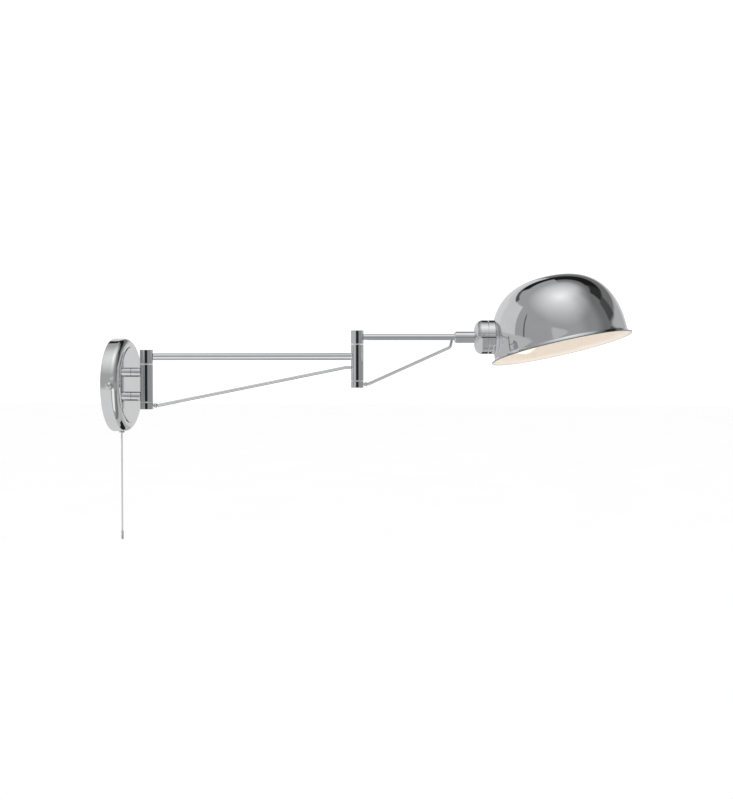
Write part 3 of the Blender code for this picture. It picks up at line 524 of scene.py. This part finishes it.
def knuckles(number, place, body):
    """The knuckles, bolt, nut and washers that turn about the post with its arm."""
    recess = BOLT_RADIUS + 0.0003
    upper = eased([
        (POST_RADIUS, UPPER_SEAM + HALF_SEAM), (POST_RADIUS, POST_TOP), (recess, POST_TOP),
        (recess, POST_TOP - RECESS_DEPTH), (POST_BORE, POST_TOP - RECESS_DEPTH),
        (POST_BORE, UPPER_SEAM + HALF_SEAM),
    ], 0.0004, closed=True)
    top = lathe(f"hinge_{number}_top", upper, 96, closed=True)
    fitted(top, place, body, "chrome", CHROME, f"post_{number}_upper_knuckle")
    lower = eased([
        (POST_RADIUS, LOWER_SEAM - HALF_SEAM), (POST_RADIUS, POST_BOTTOM), (recess, POST_BOTTOM),
        (recess, POST_BOTTOM + RECESS_DEPTH), (POST_BORE, POST_BOTTOM + RECESS_DEPTH),
        (POST_BORE, LOWER_SEAM - HALF_SEAM),
    ], 0.0004, closed=True)
    foot = lathe(f"hinge_{number}_foot", lower, 96, closed=True)
    fitted(foot, place, body, "chrome", CHROME, f"post_{number}_lower_knuckle")
    head = POST_TOP - 0.0003
    tail = POST_BOTTOM + 0.0003
    bolt_line = [
        (0.0, head - 0.0014), (0.0025, head - 0.0014), (0.0025, head - 0.0001), (0.00275, head),
        (BOLT_RADIUS - 0.0005, head), (BOLT_RADIUS, head - 0.0005),
        (BOLT_RADIUS, head - BOLT_HEAD), (BOLT_SHANK, head - BOLT_HEAD),
        (BOLT_SHANK, tail + 0.0005), (BOLT_SHANK - 0.0005, tail), (0.0, tail),
    ]
    bolt = lathe(f"hinge_{number}_bolt", bolt_line, 72, shape=key_socket(0.0030))
    fitted(bolt, place, body, "zinc_steel", CHROME, f"post_{number}_bolt")
    nut_section = ring_section(BOLT_RADIUS, BOLT_SHANK + 0.0002, tail, tail + BOLT_HEAD)
    nut = lathe(f"hinge_{number}_nut", nut_section, 72, closed=True)
    fitted(nut, place, body, "zinc_steel", ZINC, f"post_{number}_nut")
    for level, seam in (("upper", UPPER_SEAM), ("lower", LOWER_SEAM)):
        washer_section = ring_section(
            WASHER_RADIUS, POST_BORE, seam - HALF_WASHER, seam + HALF_WASHER, 0.0001
        )
        washer = lathe(f"hinge_{number}_{level}_washer", washer_section, 72, closed=True)
        fitted(washer, place, body, "nylon", NYLON, f"post_{number}_{level}_washer")


barrel(1, Matrix.Translation(POST_1), "wall_canopy_body")

# ---- First arm --------------------------------------------------------------------------
# A chromed steel tube welded between the first post's top knuckle and the second post's
# barrel. A thin brace rod runs up under it from a ball on the bottom knuckle.

TUBE_HEIGHT = 0.0363
ARM_1_TUBE = 0.0045
TUBE_WALL = 0.0010
ROD_RADIUS = 0.0020
BALL_RADIUS = 0.0028
ROD_HEIGHT = -0.0267
ROD_1_RISE = 0.0215
ROD_1_LEVEL = 0.0088
ROD_1_ROUND = 0.020
RUBBER = mottled("cable_sheath", (0.03, 0.03, 0.03), (0.018, 0.018, 0.018), 0.0, 0.45, 0.6, 400, 0.2)
POST_2 = Vector(next(j["pos_m"] for j in frame["joints"] if j["name"] == "elbow_swing"))
reach_1 = Vector((POST_2.x - POST_1.x, POST_2.y - POST_1.y, 0))
ARM_1 = Matrix.Translation(POST_1) @ Matrix.Rotation(math.atan2(reach_1.y, reach_1.x), 4, "Z")
ARM_1_REACH = reach_1.length


def bent_rod(name, points, radius, bend):
    """A round rod along straight runs, bent to a radius at each corner, with flat ends."""
    route = [Vector(points[0])]
    for before, corner, after in zip(points, points[1:], points[2:]):
        into = (Vector(before) - Vector(corner)).normalized()
        out = (Vector(after) - Vector(corner)).normalized()
        half = into.angle(out) / 2
        centre = Vector(corner) + (into + out).normalized() * bend / math.sin(half)
        first = Vector(corner) + into * bend / math.tan(half) - centre
        last = Vector(corner) + out * bend / math.tan(half) - centre
        for step in range(13):
            route.append(centre + first.slerp(last, step / 12).normalized() * bend)
    route.append(Vector(points[-1]))
    curve = bpy.data.curves.new(name, "CURVE")
    curve.dimensions = "3D"
    curve.bevel_depth = radius
    curve.bevel_resolution = 6
    curve.use_fill_caps = True
    path = curve.splines.new("POLY")
    path.points.add(len(route) - 1)
    for point, spot in zip(path.points, route):
        point.co = (*spot, 1.0)
    piece = bpy.data.objects.new(name, curve)
    bpy.context.scene.collection.objects.link(piece)
    return piece


def rod_ball(name, place, body, node):
    """The ball on the bottom knuckle that holds the rod. It gives where the ball ends."""
    middle = POST_RADIUS + 0.0001 + BALL_RADIUS
    half_round = [(0.0, -BALL_RADIUS)]
    for step in range(1, 24):
        angle = math.radians(-90 + 180 * step / 24)
        half_round.append((BALL_RADIUS * math.cos(angle), BALL_RADIUS * math.sin(angle)))
    half_round.append((0.0, BALL_RADIUS))
    ball = lathe(name, half_round, 48)
    fitted(ball, place @ Matrix.Translation((middle, 0, ROD_HEIGHT)), body, "chrome", CHROME, node)
    return middle + BALL_RADIUS


knuckles(1, Matrix.Translation(POST_1), "first_arm")
tube_1 = scooped_bar("long_tube", ARM_1_TUBE, ARM_1_TUBE - TUBE_WALL, 0.0, ARM_1_REACH, True, True)
TUBE_1 = ARM_1 @ Matrix.Translation((0, 0, TUBE_HEIGHT))
fitted(tube_1, TUBE_1, "first_arm", "chrome", CHROME, "arm_1_tube")
ball_edge = rod_ball("long_brace_ball", ARM_1, "first_arm", "arm_1_rod_ball")
rod_1_route = [
    (ball_edge - 0.0002, 0, ROD_HEIGHT),
    (ARM_1_REACH - POST_RADIUS - ROD_1_LEVEL, 0, ROD_1_RISE),
    (ARM_1_REACH - POST_RADIUS - 0.0001, 0, ROD_1_RISE),
]
rod_1 = bent_rod("long_brace", rod_1_route, ROD_RADIUS, ROD_1_ROUND)
fitted(rod_1, ARM_1, "first_arm", "chrome", CHROME, "arm_1_rod")
barrel(2, Matrix.Translation(POST_2), "first_arm")

# ---- Second arm -------------------------------------------------------------------------
# A thinner tube on the second post's top knuckle. Its brace rod turns up into the tube's
# underside just short of the swivel.

ARM_2_TUBE = 0.0040
ROD_2_BEND = 0.1245
ROD_2_BEND_HEIGHT = 0.0231
ROD_2_ENTRY = 0.1264
ROD_2_ROUND = 0.0045
SLEEVE_START = 0.1299
TUBE_IN_SLEEVE = 0.0120
turn_joint = next(j for j in frame["joints"] if j["name"] == "head_turn")
arm_2_line = Vector(turn_joint["axis"])
ARM_2 = Matrix.Translation(POST_2) @ Matrix.Rotation(math.atan2(arm_2_line.y, arm_2_line.x), 4, "Z")

knuckles(2, Matrix.Translation(POST_2), "second_arm")
tube_2 = scooped_bar(
    "short_tube", ARM_2_TUBE, ARM_2_TUBE - TUBE_WALL, 0.0, SLEEVE_START + TUBE_IN_SLEEVE, True, False
)
TUBE_2 = ARM_2 @ Matrix.Translation((0, 0, TUBE_HEIGHT))
fitted(tube_2, TUBE_2, "second_arm", "chrome", CHROME, "arm_2_tube")
rod_ball("short_brace_ball", ARM_2, "second_arm", "arm_2_rod_ball")
rod_2_route = [
    (ball_edge - 0.0002, 0, ROD_HEIGHT),
    (ROD_2_BEND, 0, ROD_2_BEND_HEIGHT),
    (ROD_2_ENTRY, 0, TUBE_HEIGHT - ARM_2_TUBE),
]
rod_2 = bent_rod("short_brace", rod_2_route, ROD_RADIUS, ROD_2_ROUND)
fitted(rod_2, ARM_2, "second_arm", "chrome", CHROME, "arm_2_rod")
for cable in ("arm_1_wire", "arm_2_wire"):
    finished(cable, RUBBER)

# ---- Swivel sleeve ----------------------------------------------------------------------
# A turned sleeve set on the tube's end with a grub screw from below. The hollow stem of
# the head turns in its other half.

SLEEVE_LENGTH = 0.0270
SLEEVE_RADIUS = 0.0075
SLEEVE_CHAMFER = 0.0016
SLEEVE_BORE = 0.0042
SLEEVE_SCREW = 0.0076
UPSIDE_DOWN = Matrix.Rotation(math.pi, 4, "X")
sleeve_end = SLEEVE_START + SLEEVE_LENGTH
sleeve_line = eased([
    (SLEEVE_BORE, SLEEVE_START), (SLEEVE_RADIUS - SLEEVE_CHAMFER, SLEEVE_START),
    (SLEEVE_RADIUS, SLEEVE_START + SLEEVE_CHAMFER), (SLEEVE_RADIUS, sleeve_end),
    (SLEEVE_BORE, sleeve_end),
], 0.0003, closed=True)
sleeve = lathe("turned_sleeve", sleeve_line, 80, closed=True)
fitted(sleeve, TUBE_2 @ ALONG_X, "second_arm", "chrome", CHROME, "swivel_sleeve")


def grub_screw(name, depth, top):
    """A set screw with a hexagon key socket in its outer end."""
    points = [
        (0.0, depth), (0.0014, depth), (0.0014, top - 0.0002), (0.0012, top), (0.0008, top),
        (0.0008, top - 0.0009), (0.0, top - 0.0009),
    ]
    return lathe(name, points, 48, shape=key_socket(0.0009))


sleeve_grub = grub_screw("sleeve_grub", 0.0045, SLEEVE_RADIUS + 0.0001)
place = TUBE_2 @ Matrix.Translation((SLEEVE_START + SLEEVE_SCREW, 0, 0)) @ UPSIDE_DOWN
fitted(sleeve_grub, place, "second_arm", "zinc_steel", ZINC, "sleeve_set_screw")

# ---- Socket cup -------------------------------------------------------------------------
# A small spun cup on the swivel's stem. A set screw in its side holds the lampholder, and
# a collar in its mouth meets the shade.

HEAD_ROLL = math.radians(-7.4)
CUP_RADIUS = 0.0227
CUP_ROUND = 0.0097
CUP_WALL = 0.0015
CUP_LENGTH = 0.0170
CUP_SCREW = 0.0106
STEM_HOLE = 0.0043
STEM_NUT_FLATS = 0.014
STEM_NUT_BORE = 0.0042
STEM_NUT_THICKNESS = 0.0030
SIDEWAYS = Matrix.Rotation(math.radians(90), 4, "X")
HEAD = TUBE_2 @ Matrix.Rotation(HEAD_ROLL, 4, "X")
cup_start = sleeve_end + 0.0003
cup_end = cup_start + CUP_LENGTH


def cup_side(inset):
    """The cup's skin from the stem's hole round to its open end."""
    found = [(STEM_HOLE, cup_start + inset)]
    reach = CUP_ROUND - inset
    for step in range(15):
        angle = math.radians(-90 + 90 * step / 14)
        found.append((
            CUP_RADIUS - CUP_ROUND + reach * math.cos(angle),
            cup_start + CUP_ROUND + reach * math.sin(angle),
        ))
    if inset:
        found.append((CUP_RADIUS - inset, cup_end))
    else:
        found += [(CUP_RADIUS, cup_end - 0.0004), (CUP_RADIUS - 0.0004, cup_end)]
    return found


cup = lathe("spun_cup", cup_side(0.0) + cup_side(CUP_WALL)[::-1], 112, closed=True)
fitted(cup, HEAD @ ALONG_X, "head", "chrome", CHROME, "socket_cup")
cup_grub = grub_screw("cup_grub", 0.0165, CUP_RADIUS + 0.0001)
place = HEAD @ Matrix.Translation((cup_start + CUP_SCREW, 0, 0)) @ SIDEWAYS
fitted(cup_grub, place, "head", "zinc_steel", ZINC, "cup_set_screw")
stem_nut = hexagon_nut("stem_clamp_nut", STEM_NUT_FLATS, STEM_NUT_BORE, STEM_NUT_THICKNESS)
place = HEAD @ Matrix.Translation((cup_start + CUP_WALL + 0.0003, 0, 0)) @ ALONG_X
fitted(stem_nut, place, "head", "zinc_steel", ZINC, "stem_nut")
finished("swivel_stem", ZINC)

# ---- Dome shade -------------------------------------------------------------------------
# Spun steel, chrome plated outside and white lacquered inside. Its shoulder is squarer
# than a ball's, and its rim is flared and rolled over to a thin bead.

SHADE_REACH = 0.2703
SHADE_RADIUS = 0.0900
SHADE_HEIGHT = 0.0979
SHADE_SQUARENESS = 2.55
SHADE_WALL = 0.0012
SHADE_BELOW = 0.0159
SHADE_PITCH = math.radians(-12.1)
LIP_FLARE = 0.0051
HOLDER_RADIUS = 0.0160
SHADE = HEAD @ Matrix.Translation((SHADE_REACH, 0, 0)) @ Matrix.Rotation(SHADE_PITCH, 4, "Y")
# White lacquer for the shade's inside. Its cream tint is partly painted warm light from the bulb, on top of
# the paint's own white.
LACQUER_WITH_PAINTED_GLOW = mottled("lacquer_with_painted_warm_glow", (0.95, 0.875, 0.79), (0.94, 0.865, 0.78), 0.0, 0.3, 0.4, 30, 0.02)
# A darker, duller grey painted on the outermost bottom edge of the shade's flare.
DARKER_LIP_EDGE = mottled("darker_lip_edge", (0.34, 0.34, 0.35), (0.27, 0.27, 0.28), 1.0, 0.3, 0.45, 200, 0.1)


def dome_height(across):
    """How far above the rim the shade's outside is at this distance from its axis."""
    part = min(1.0, across / SHADE_RADIUS)
    return SHADE_HEIGHT * (1 - part ** SHADE_SQUARENESS) ** (1 / SHADE_SQUARENESS)


def shade_side(inset, steps):
    """The shade's skin from the edge of its flare up to its crown."""
    radius = SHADE_RADIUS - inset
    height = SHADE_HEIGHT - inset
    lip_radius = SHADE_RADIUS + LIP_FLARE
    lip_height = LIP_FLARE + SHADE_WALL + 0.0003
    found = []
    for step in range(11):
        angle = math.radians(270 - 80 * step / 10)
        found.append((
            lip_radius + (LIP_FLARE + inset) * math.cos(angle),
            lip_height + (LIP_FLARE + inset) * math.sin(angle),
        ))
    low = math.asin(((lip_height + 0.003) / height) ** (SHADE_SQUARENESS / 2))
    for step in range(steps + 1):
        angle = low + (math.pi / 2 - low) * step / steps
        across = max(0.0, math.cos(angle)) ** (2 / SHADE_SQUARENESS)
        up = math.sin(angle) ** (2 / SHADE_SQUARENESS)
        found.append((0.0 if step == steps else radius * across, height * up))
    return [(across, up - SHADE_BELOW) for across, up in found]


outside = shade_side(0.0, 44)
inside = shade_side(SHADE_WALL, 32)
shade_line = outside[::-1] + inside
shade = lathe("spun_shade", shade_line, 160)
shade.data.materials.append(CHROME)
shade.data.materials.append(LACQUER_WITH_PAINTED_GLOW)
shade.data.materials.append(DARKER_LIP_EDGE)
for face in shade.data.polygons:
    middle = Vector((face.center.x, face.center.y, face.center.z - 0.01))
    # Inner faces get the lacquer, whose cream tint is partly painted warm bulb light.
    if face.normal.dot(middle) < 0 and face.center.z > -SHADE_BELOW + 0.0005:
        face.material_index = 1
    # The faces at the flare's outermost edge are painted the darker grey.
    if math.hypot(face.center.x, face.center.y) > SHADE_RADIUS + LIP_FLARE - 0.0003:
        face.material_index = 2
shade.data.transform(SHADE)
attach(shade, "head")
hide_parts("dome_shade")

# ---- Shade collar and ring nut ------------------------------------------------------------
# The collar fills the space between the cup and the shade, and its outer end is shaped to
# the shade's side. A plastic ring nut on the lampholder clamps the shade from inside.

COLLAR_BORE = 0.0190
COLLAR_GAP = 0.0008
SPIGOT_LENGTH = 0.0035
RING_NUT_RADIUS = 0.0203
RING_NUT_BORE = 0.0162
RING_NUT_THICKNESS = 0.0040
RING_NUT_STANDOFF = 0.0036
to_shade = SHADE.inverted() @ HEAD


def where_it_meets(radius, angle):
    """How far along the head's axis a line beside it runs before it meets the shade."""
    near, far = cup_end, SHADE_REACH
    for _ in range(40):
        middle = (near + far) / 2
        point = to_shade @ Vector((middle, radius * math.cos(angle), radius * math.sin(angle)))
        across = math.hypot(point.x, point.y)
        under = point.z + SHADE_BELOW < dome_height(across) and across < SHADE_RADIUS
        if under:
            far = middle
        else:
            near = middle
    return near - 0.0002


def fitted_collar(name, sides=112):
    """The collar: a ring with a spigot in the cup's mouth and an end that hugs the shade."""
    maker = bmesh.new()
    shoulder = cup_end + COLLAR_GAP
    spigot = CUP_RADIUS - CUP_WALL - 0.0003
    fixed = [
        (COLLAR_BORE, cup_end - SPIGOT_LENGTH), (spigot, cup_end - SPIGOT_LENGTH), (spigot, shoulder),
        (CUP_RADIUS - 0.0003, shoulder), (CUP_RADIUS, shoulder + 0.0003),
    ]
    shaped = [(CUP_RADIUS, None), (COLLAR_BORE, None)]
    rings = []
    for radius, along in fixed + shaped:
        ring = []
        for i in range(sides):
            angle = math.tau * i / sides
            end = where_it_meets(radius, angle) if along is None else along
            ring.append(maker.verts.new((end, radius * math.cos(angle), radius * math.sin(angle))))
        rings.append(ring)
    for low, high in zip(rings, rings[1:] + rings[:1]):
        for i in range(sides):
            j = (i + 1) % sides
            maker.faces.new((low[i], low[j], high[j], high[i]))
    return evenly_shaded(name, maker, 32)


fitted(fitted_collar("shaped_collar"), HEAD, "head", "chrome", CHROME, "shade_collar")


def finger_grips(angle, radius, height):
    """Shallow grips round the ring nut's edge."""
    return radius * (1 + 0.012 * math.cos(30 * angle)) if radius > 0.0200 else radius


ring_nut_start = SHADE_REACH - SHADE_RADIUS + SHADE_WALL + RING_NUT_STANDOFF
ring_nut_end = ring_nut_start + RING_NUT_THICKNESS
ring_nut_line = ring_section(RING_NUT_RADIUS, RING_NUT_BORE, ring_nut_start, ring_nut_end, 0.0005)
ring_nut = lathe("clamp_ring", ring_nut_line, 240, closed=True, shape=finger_grips)
fitted(ring_nut, HEAD @ ALONG_X, "head", "white_plastic", WHITE_PLASTIC, "shade_ring_nut")

# ---- Lampholder -------------------------------------------------------------------------
# A glazed porcelain holder that passes through the shade's side, with a brass screw shell
# and a sprung copper contact at its back.

HOLDER_BACK = 0.0090
HOLDER_LENGTH = 0.0300
HOLDER_WALL = 0.0015
HOLDER_FLOOR = 0.0030
PORCELAIN = mottled("glazed_porcelain", (0.91, 0.90, 0.86), (0.86, 0.85, 0.81), 0.0, 0.08, 0.2, 120, 0.05)
COPPER = mottled("contact_copper", (0.83, 0.49, 0.32), (0.68, 0.36, 0.22), 1.0, 0.25, 0.4, 300, 0.1)
holder_start = cup_start + HOLDER_BACK
holder_end = holder_start + HOLDER_LENGTH
holder_bore = HOLDER_RADIUS - HOLDER_WALL
holder_line = eased([
    (0.0, holder_start), (HOLDER_RADIUS, holder_start), (HOLDER_RADIUS, holder_end),
    (holder_bore, holder_end), (holder_bore, holder_start + HOLDER_FLOOR),
    (0.0, holder_start + HOLDER_FLOOR),
], 0.0006)
holder = lathe("porcelain_holder", holder_line, 96)
fitted(holder, HEAD @ ALONG_X, "head", "porcelain", PORCELAIN, "lampholder")
finished("centre_contact", COPPER)
finished("screw_shell", BRASS)

# ---- Bulb -------------------------------------------------------------------------------
# A small frosted glass globe, lit from inside. Its brass base has a rolled thread and
# screws into the holder's shell.

BULB_RADIUS = 0.0225
BULB_NECK = 0.0115
BASE_RADIUS = 0.0133
BASE_LENGTH = 0.0200
NECK_LENGTH = 0.0090
GLASS = 0.0012
CONTACT_DEPTH = 0.0035
THREAD_TURNS = 5
base_start = holder_start + HOLDER_FLOOR + CONTACT_DEPTH + 0.0006
base_end = base_start + BASE_LENGTH
base_line = [
    (0.0, base_start), (0.0040, base_start), (0.0060, base_start + 0.0020),
    (0.0120, base_start + 0.0034),
]
for step in range(49):
    along = base_start + 0.0040 + (BASE_LENGTH - 0.0045) * step / 48
    ridge = 0.0004 * math.cos(math.tau * THREAD_TURNS * step / 48)
    base_line.append((BASE_RADIUS - 0.0005 + ridge, along))
base_line += [(0.0120, base_end), (0.0, base_end)]
fitted(lathe("screw_base", base_line, 64), HEAD @ ALONG_X, "head", "brass", BRASS, "bulb_base")

GLOBE = mottled("frosted_globe", (0.82, 0.76, 0.69), (0.79, 0.73, 0.66), 0.0, 0.35, 0.5, 120, 0.03)
lit = GLOBE.node_tree.nodes["Principled BSDF"]
lit.inputs["Emission Color"].default_value = (1.0, 0.84, 0.64, 1.0)
lit.inputs["Emission Strength"].default_value = 0.5
globe_middle = base_end + NECK_LENGTH + BULB_RADIUS * 0.86


def globe_side(inset, steps):
    """The glass's skin from its neck round to the tip."""
    radius = BULB_RADIUS - inset
    neck = BULB_NECK - inset
    first = math.pi - math.asin(neck / radius)
    found = [(neck, base_end + 0.0002), (neck, base_end + 0.0025)]
    for step in range(steps):
        angle = first * (1 - step / steps)
        found.append((radius * math.sin(angle), globe_middle + radius * math.cos(angle)))
    found.append((0.0, globe_middle + radius))
    return found


globe_line = globe_side(0.0, 30)[::-1] + globe_side(GLASS, 20)
fitted(lathe("lit_globe", globe_line, 80), HEAD @ ALONG_X, "head", "frosted_glass", GLOBE, "bulb_globe")

# ---- Room -------------------------------------------------------------------------------
# A pale floor well below the lamp, and soft light from all round with a few large panels
# and dark gaps for the chrome to show.

FLOOR_HEIGHT = -1.2
FLOOR_PAINT = mottled("pale_floor", (0.99, 0.99, 0.99), (0.985, 0.985, 0.985), 0.0, 0.8, 0.9, 1.5, 0.0)
floor_mesh = bpy.data.meshes.new("floor")
floor_maker = bmesh.new()
bmesh.ops.create_grid(floor_maker, x_segments=1, y_segments=1, size=30.0)
floor_maker.to_mesh(floor_mesh)
floor_maker.free()
floor = bpy.data.objects.new("floor", floor_mesh)
floor.location = (0, 0, FLOOR_HEIGHT)
floor.visible_glossy = False
floor_mesh.materials.append(FLOOR_PAINT)
bpy.context.scene.collection.objects.link(floor)

world = bpy.data.worlds.new("studio")
bpy.context.scene.world = world
world.use_nodes = True
nodes = world.node_tree.nodes
links = world.node_tree.links
nodes.clear()


def operation(kind, *values):
    """One Math node. A value is a number or another node's output."""
    made = nodes.new("ShaderNodeMath")
    made.operation = kind
    for socket, value in zip(made.inputs, values):
        if isinstance(value, bpy.types.NodeSocket):
            links.new(value, socket)
        else:
            socket.default_value = value
    return made.outputs["Value"]


def band(value, low, high, soft):
    """1 where the value lies between low and high, fading to 0 over soft beyond them."""
    rise = nodes.new("ShaderNodeMapRange")
    fall = nodes.new("ShaderNodeMapRange")
    for fade, start, end in ((rise, low - soft, low), (fall, high + soft, high)):
        fade.interpolation_type = "SMOOTHSTEP"
        links.new(value, fade.inputs["Value"])
        fade.inputs["From Min"].default_value = start
        fade.inputs["From Max"].default_value = end
    return operation("MULTIPLY", rise.outputs["Result"], fall.outputs["Result"])


STUDIO_TURN = math.radians(82.5)    # brings the side the lamp is seen from to angle 0
turned_sky = nodes.new("ShaderNodeVectorRotate")
turned_sky.rotation_type = "Z_AXIS"
turned_sky.inputs["Angle"].default_value = STUDIO_TURN
links.new(nodes.new("ShaderNodeTexCoord").outputs["Generated"], turned_sky.inputs["Vector"])
split = nodes.new("ShaderNodeSeparateXYZ")
links.new(turned_sky.outputs["Vector"], split.inputs["Vector"])
around = operation("MULTIPLY", operation("ARCTAN2", split.outputs["Y"], split.outputs["X"]), 180 / math.pi)
upward = operation("MULTIPLY", operation("ARCSINE", split.outputs["Z"]), 180 / math.pi)


def panel(sky, side_low, side_high, side_soft, low, high, soft, brightness):
    """Adds one soft-edged area of the studio, by angles round and up in degrees."""
    inside_it = operation(
        "MULTIPLY", band(around, side_low, side_high, side_soft), band(upward, low, high, soft)
    )
    kept = operation("MULTIPLY", sky, operation("SUBTRACT", 1.0, inside_it))
    return operation("ADD", kept, operation("MULTIPLY", inside_it, brightness))


def glow(sky, side, high, wide, brightness):
    """Adds a round soft light centred on this direction, which fades out over wide degrees."""
    middle = nodes.new("ShaderNodeVectorMath")
    middle.operation = "DOT_PRODUCT"
    links.new(turned_sky.outputs["Vector"], middle.inputs[0])
    side, high = math.radians(side), math.radians(high)
    middle.inputs[1].default_value = (
        math.cos(high) * math.cos(side), math.cos(high) * math.sin(side), math.sin(high)
    )
    away = operation("MULTIPLY", operation("ARCCOSINE", middle.outputs["Value"]), 180 / math.pi)
    near = operation("MAXIMUM", operation("SUBTRACT", 1.0, operation("DIVIDE", away, wide)), 0.0)
    return operation("ADD", sky, operation("MULTIPLY", operation("POWER", near, 1.1), brightness))


sky = operation("ADD", 0.36, 0.0)
sky = panel(sky, 52, 400, 34, -400, 60, 14, 0.27)       # right side wall
sky = panel(sky, 82, 400, 26, -400, 60, 14, 0.165)      # its darker far end
sky = panel(sky, 105, 400, 18, -400, 19, 5, 0.45)       # paler behind, right
sky = panel(sky, 148, 400, 6, -12, 12, 5, 0.62)         # open white behind the lamp
sky = panel(sky, -400, -90, 1, -400, 37, 2, 0.62)       # pale screen at the left
sky = panel(sky, -400, -140, 10, -400, 25, 5, 0.7)      # open white behind, left
sky = panel(sky, -400, -10, 6, -400, -14, 14, 0.62)     # white card low at the left
sky = panel(sky, -400, 400, 1, 82, 400, 28, 0.43)       # ceiling
sky = panel(sky, 14, 45, 6, -60, -8, 4, 0.85)           # white card low at the right
sky = panel(sky, 130, 400, 6, 38, 54, 3, 0.012)         # dark gap under the ceiling, right
sky = panel(sky, 102, 128, 6, 39, 51, 4, 0.03)
sky = panel(sky, 95, 112, 5, 23, 36, 4, 0.07)
sky = panel(sky, -400, -150, 5, 38, 48, 3, 0.012)       # the same gap, left
sky = panel(sky, 125, 400, 6, -56, -34, 3, 0.015)       # and low down behind the lamp
sky = panel(sky, -150, -122, 6, 38, 41, 2, 0.09)
sky = panel(sky, -72, -70.5, 1, 0, 25, 8, 0.1)          # screen's upright edge
sky = panel(sky, -20, 31, 4, 13.5, 18.5, 1.5, 0.5)      # bar of light at the front
sky = panel(sky, -400, -36, 8, -6, 3, 2, 0.5)           # pale skirting, left
sky = panel(sky, 28, 110, 8, -6, 3, 2, 0.3)             # grey skirting, right
sky = panel(sky, -20, 22, 6, -4, 1.5, 1, 0.02)          # dark gap at the front
sky = glow(sky, -4, 68, 46, 0.62)                       # large round soft box overhead

rays = nodes.new("ShaderNodeLightPath")
even = operation("MAXIMUM", rays.outputs["Is Camera Ray"], rays.outputs["Is Diffuse Ray"])
even_part = operation("MULTIPLY", even, 1.16)
mirror_part = operation("MULTIPLY", operation("SUBTRACT", 1.0, even), sky)
background = nodes.new("ShaderNodeBackground")
links.new(operation("ADD", even_part, mirror_part), background.inputs["Strength"])
output = nodes.new("ShaderNodeOutputWorld")
links.new(background.outputs["Background"], output.inputs["Surface"])
background.inputs["Color"].default_value = (1.0, 1.0, 1.0, 1.0)

scene = bpy.context.scene
scene.view_settings.view_transform = "Standard"
scene.view_settings.look = "None"
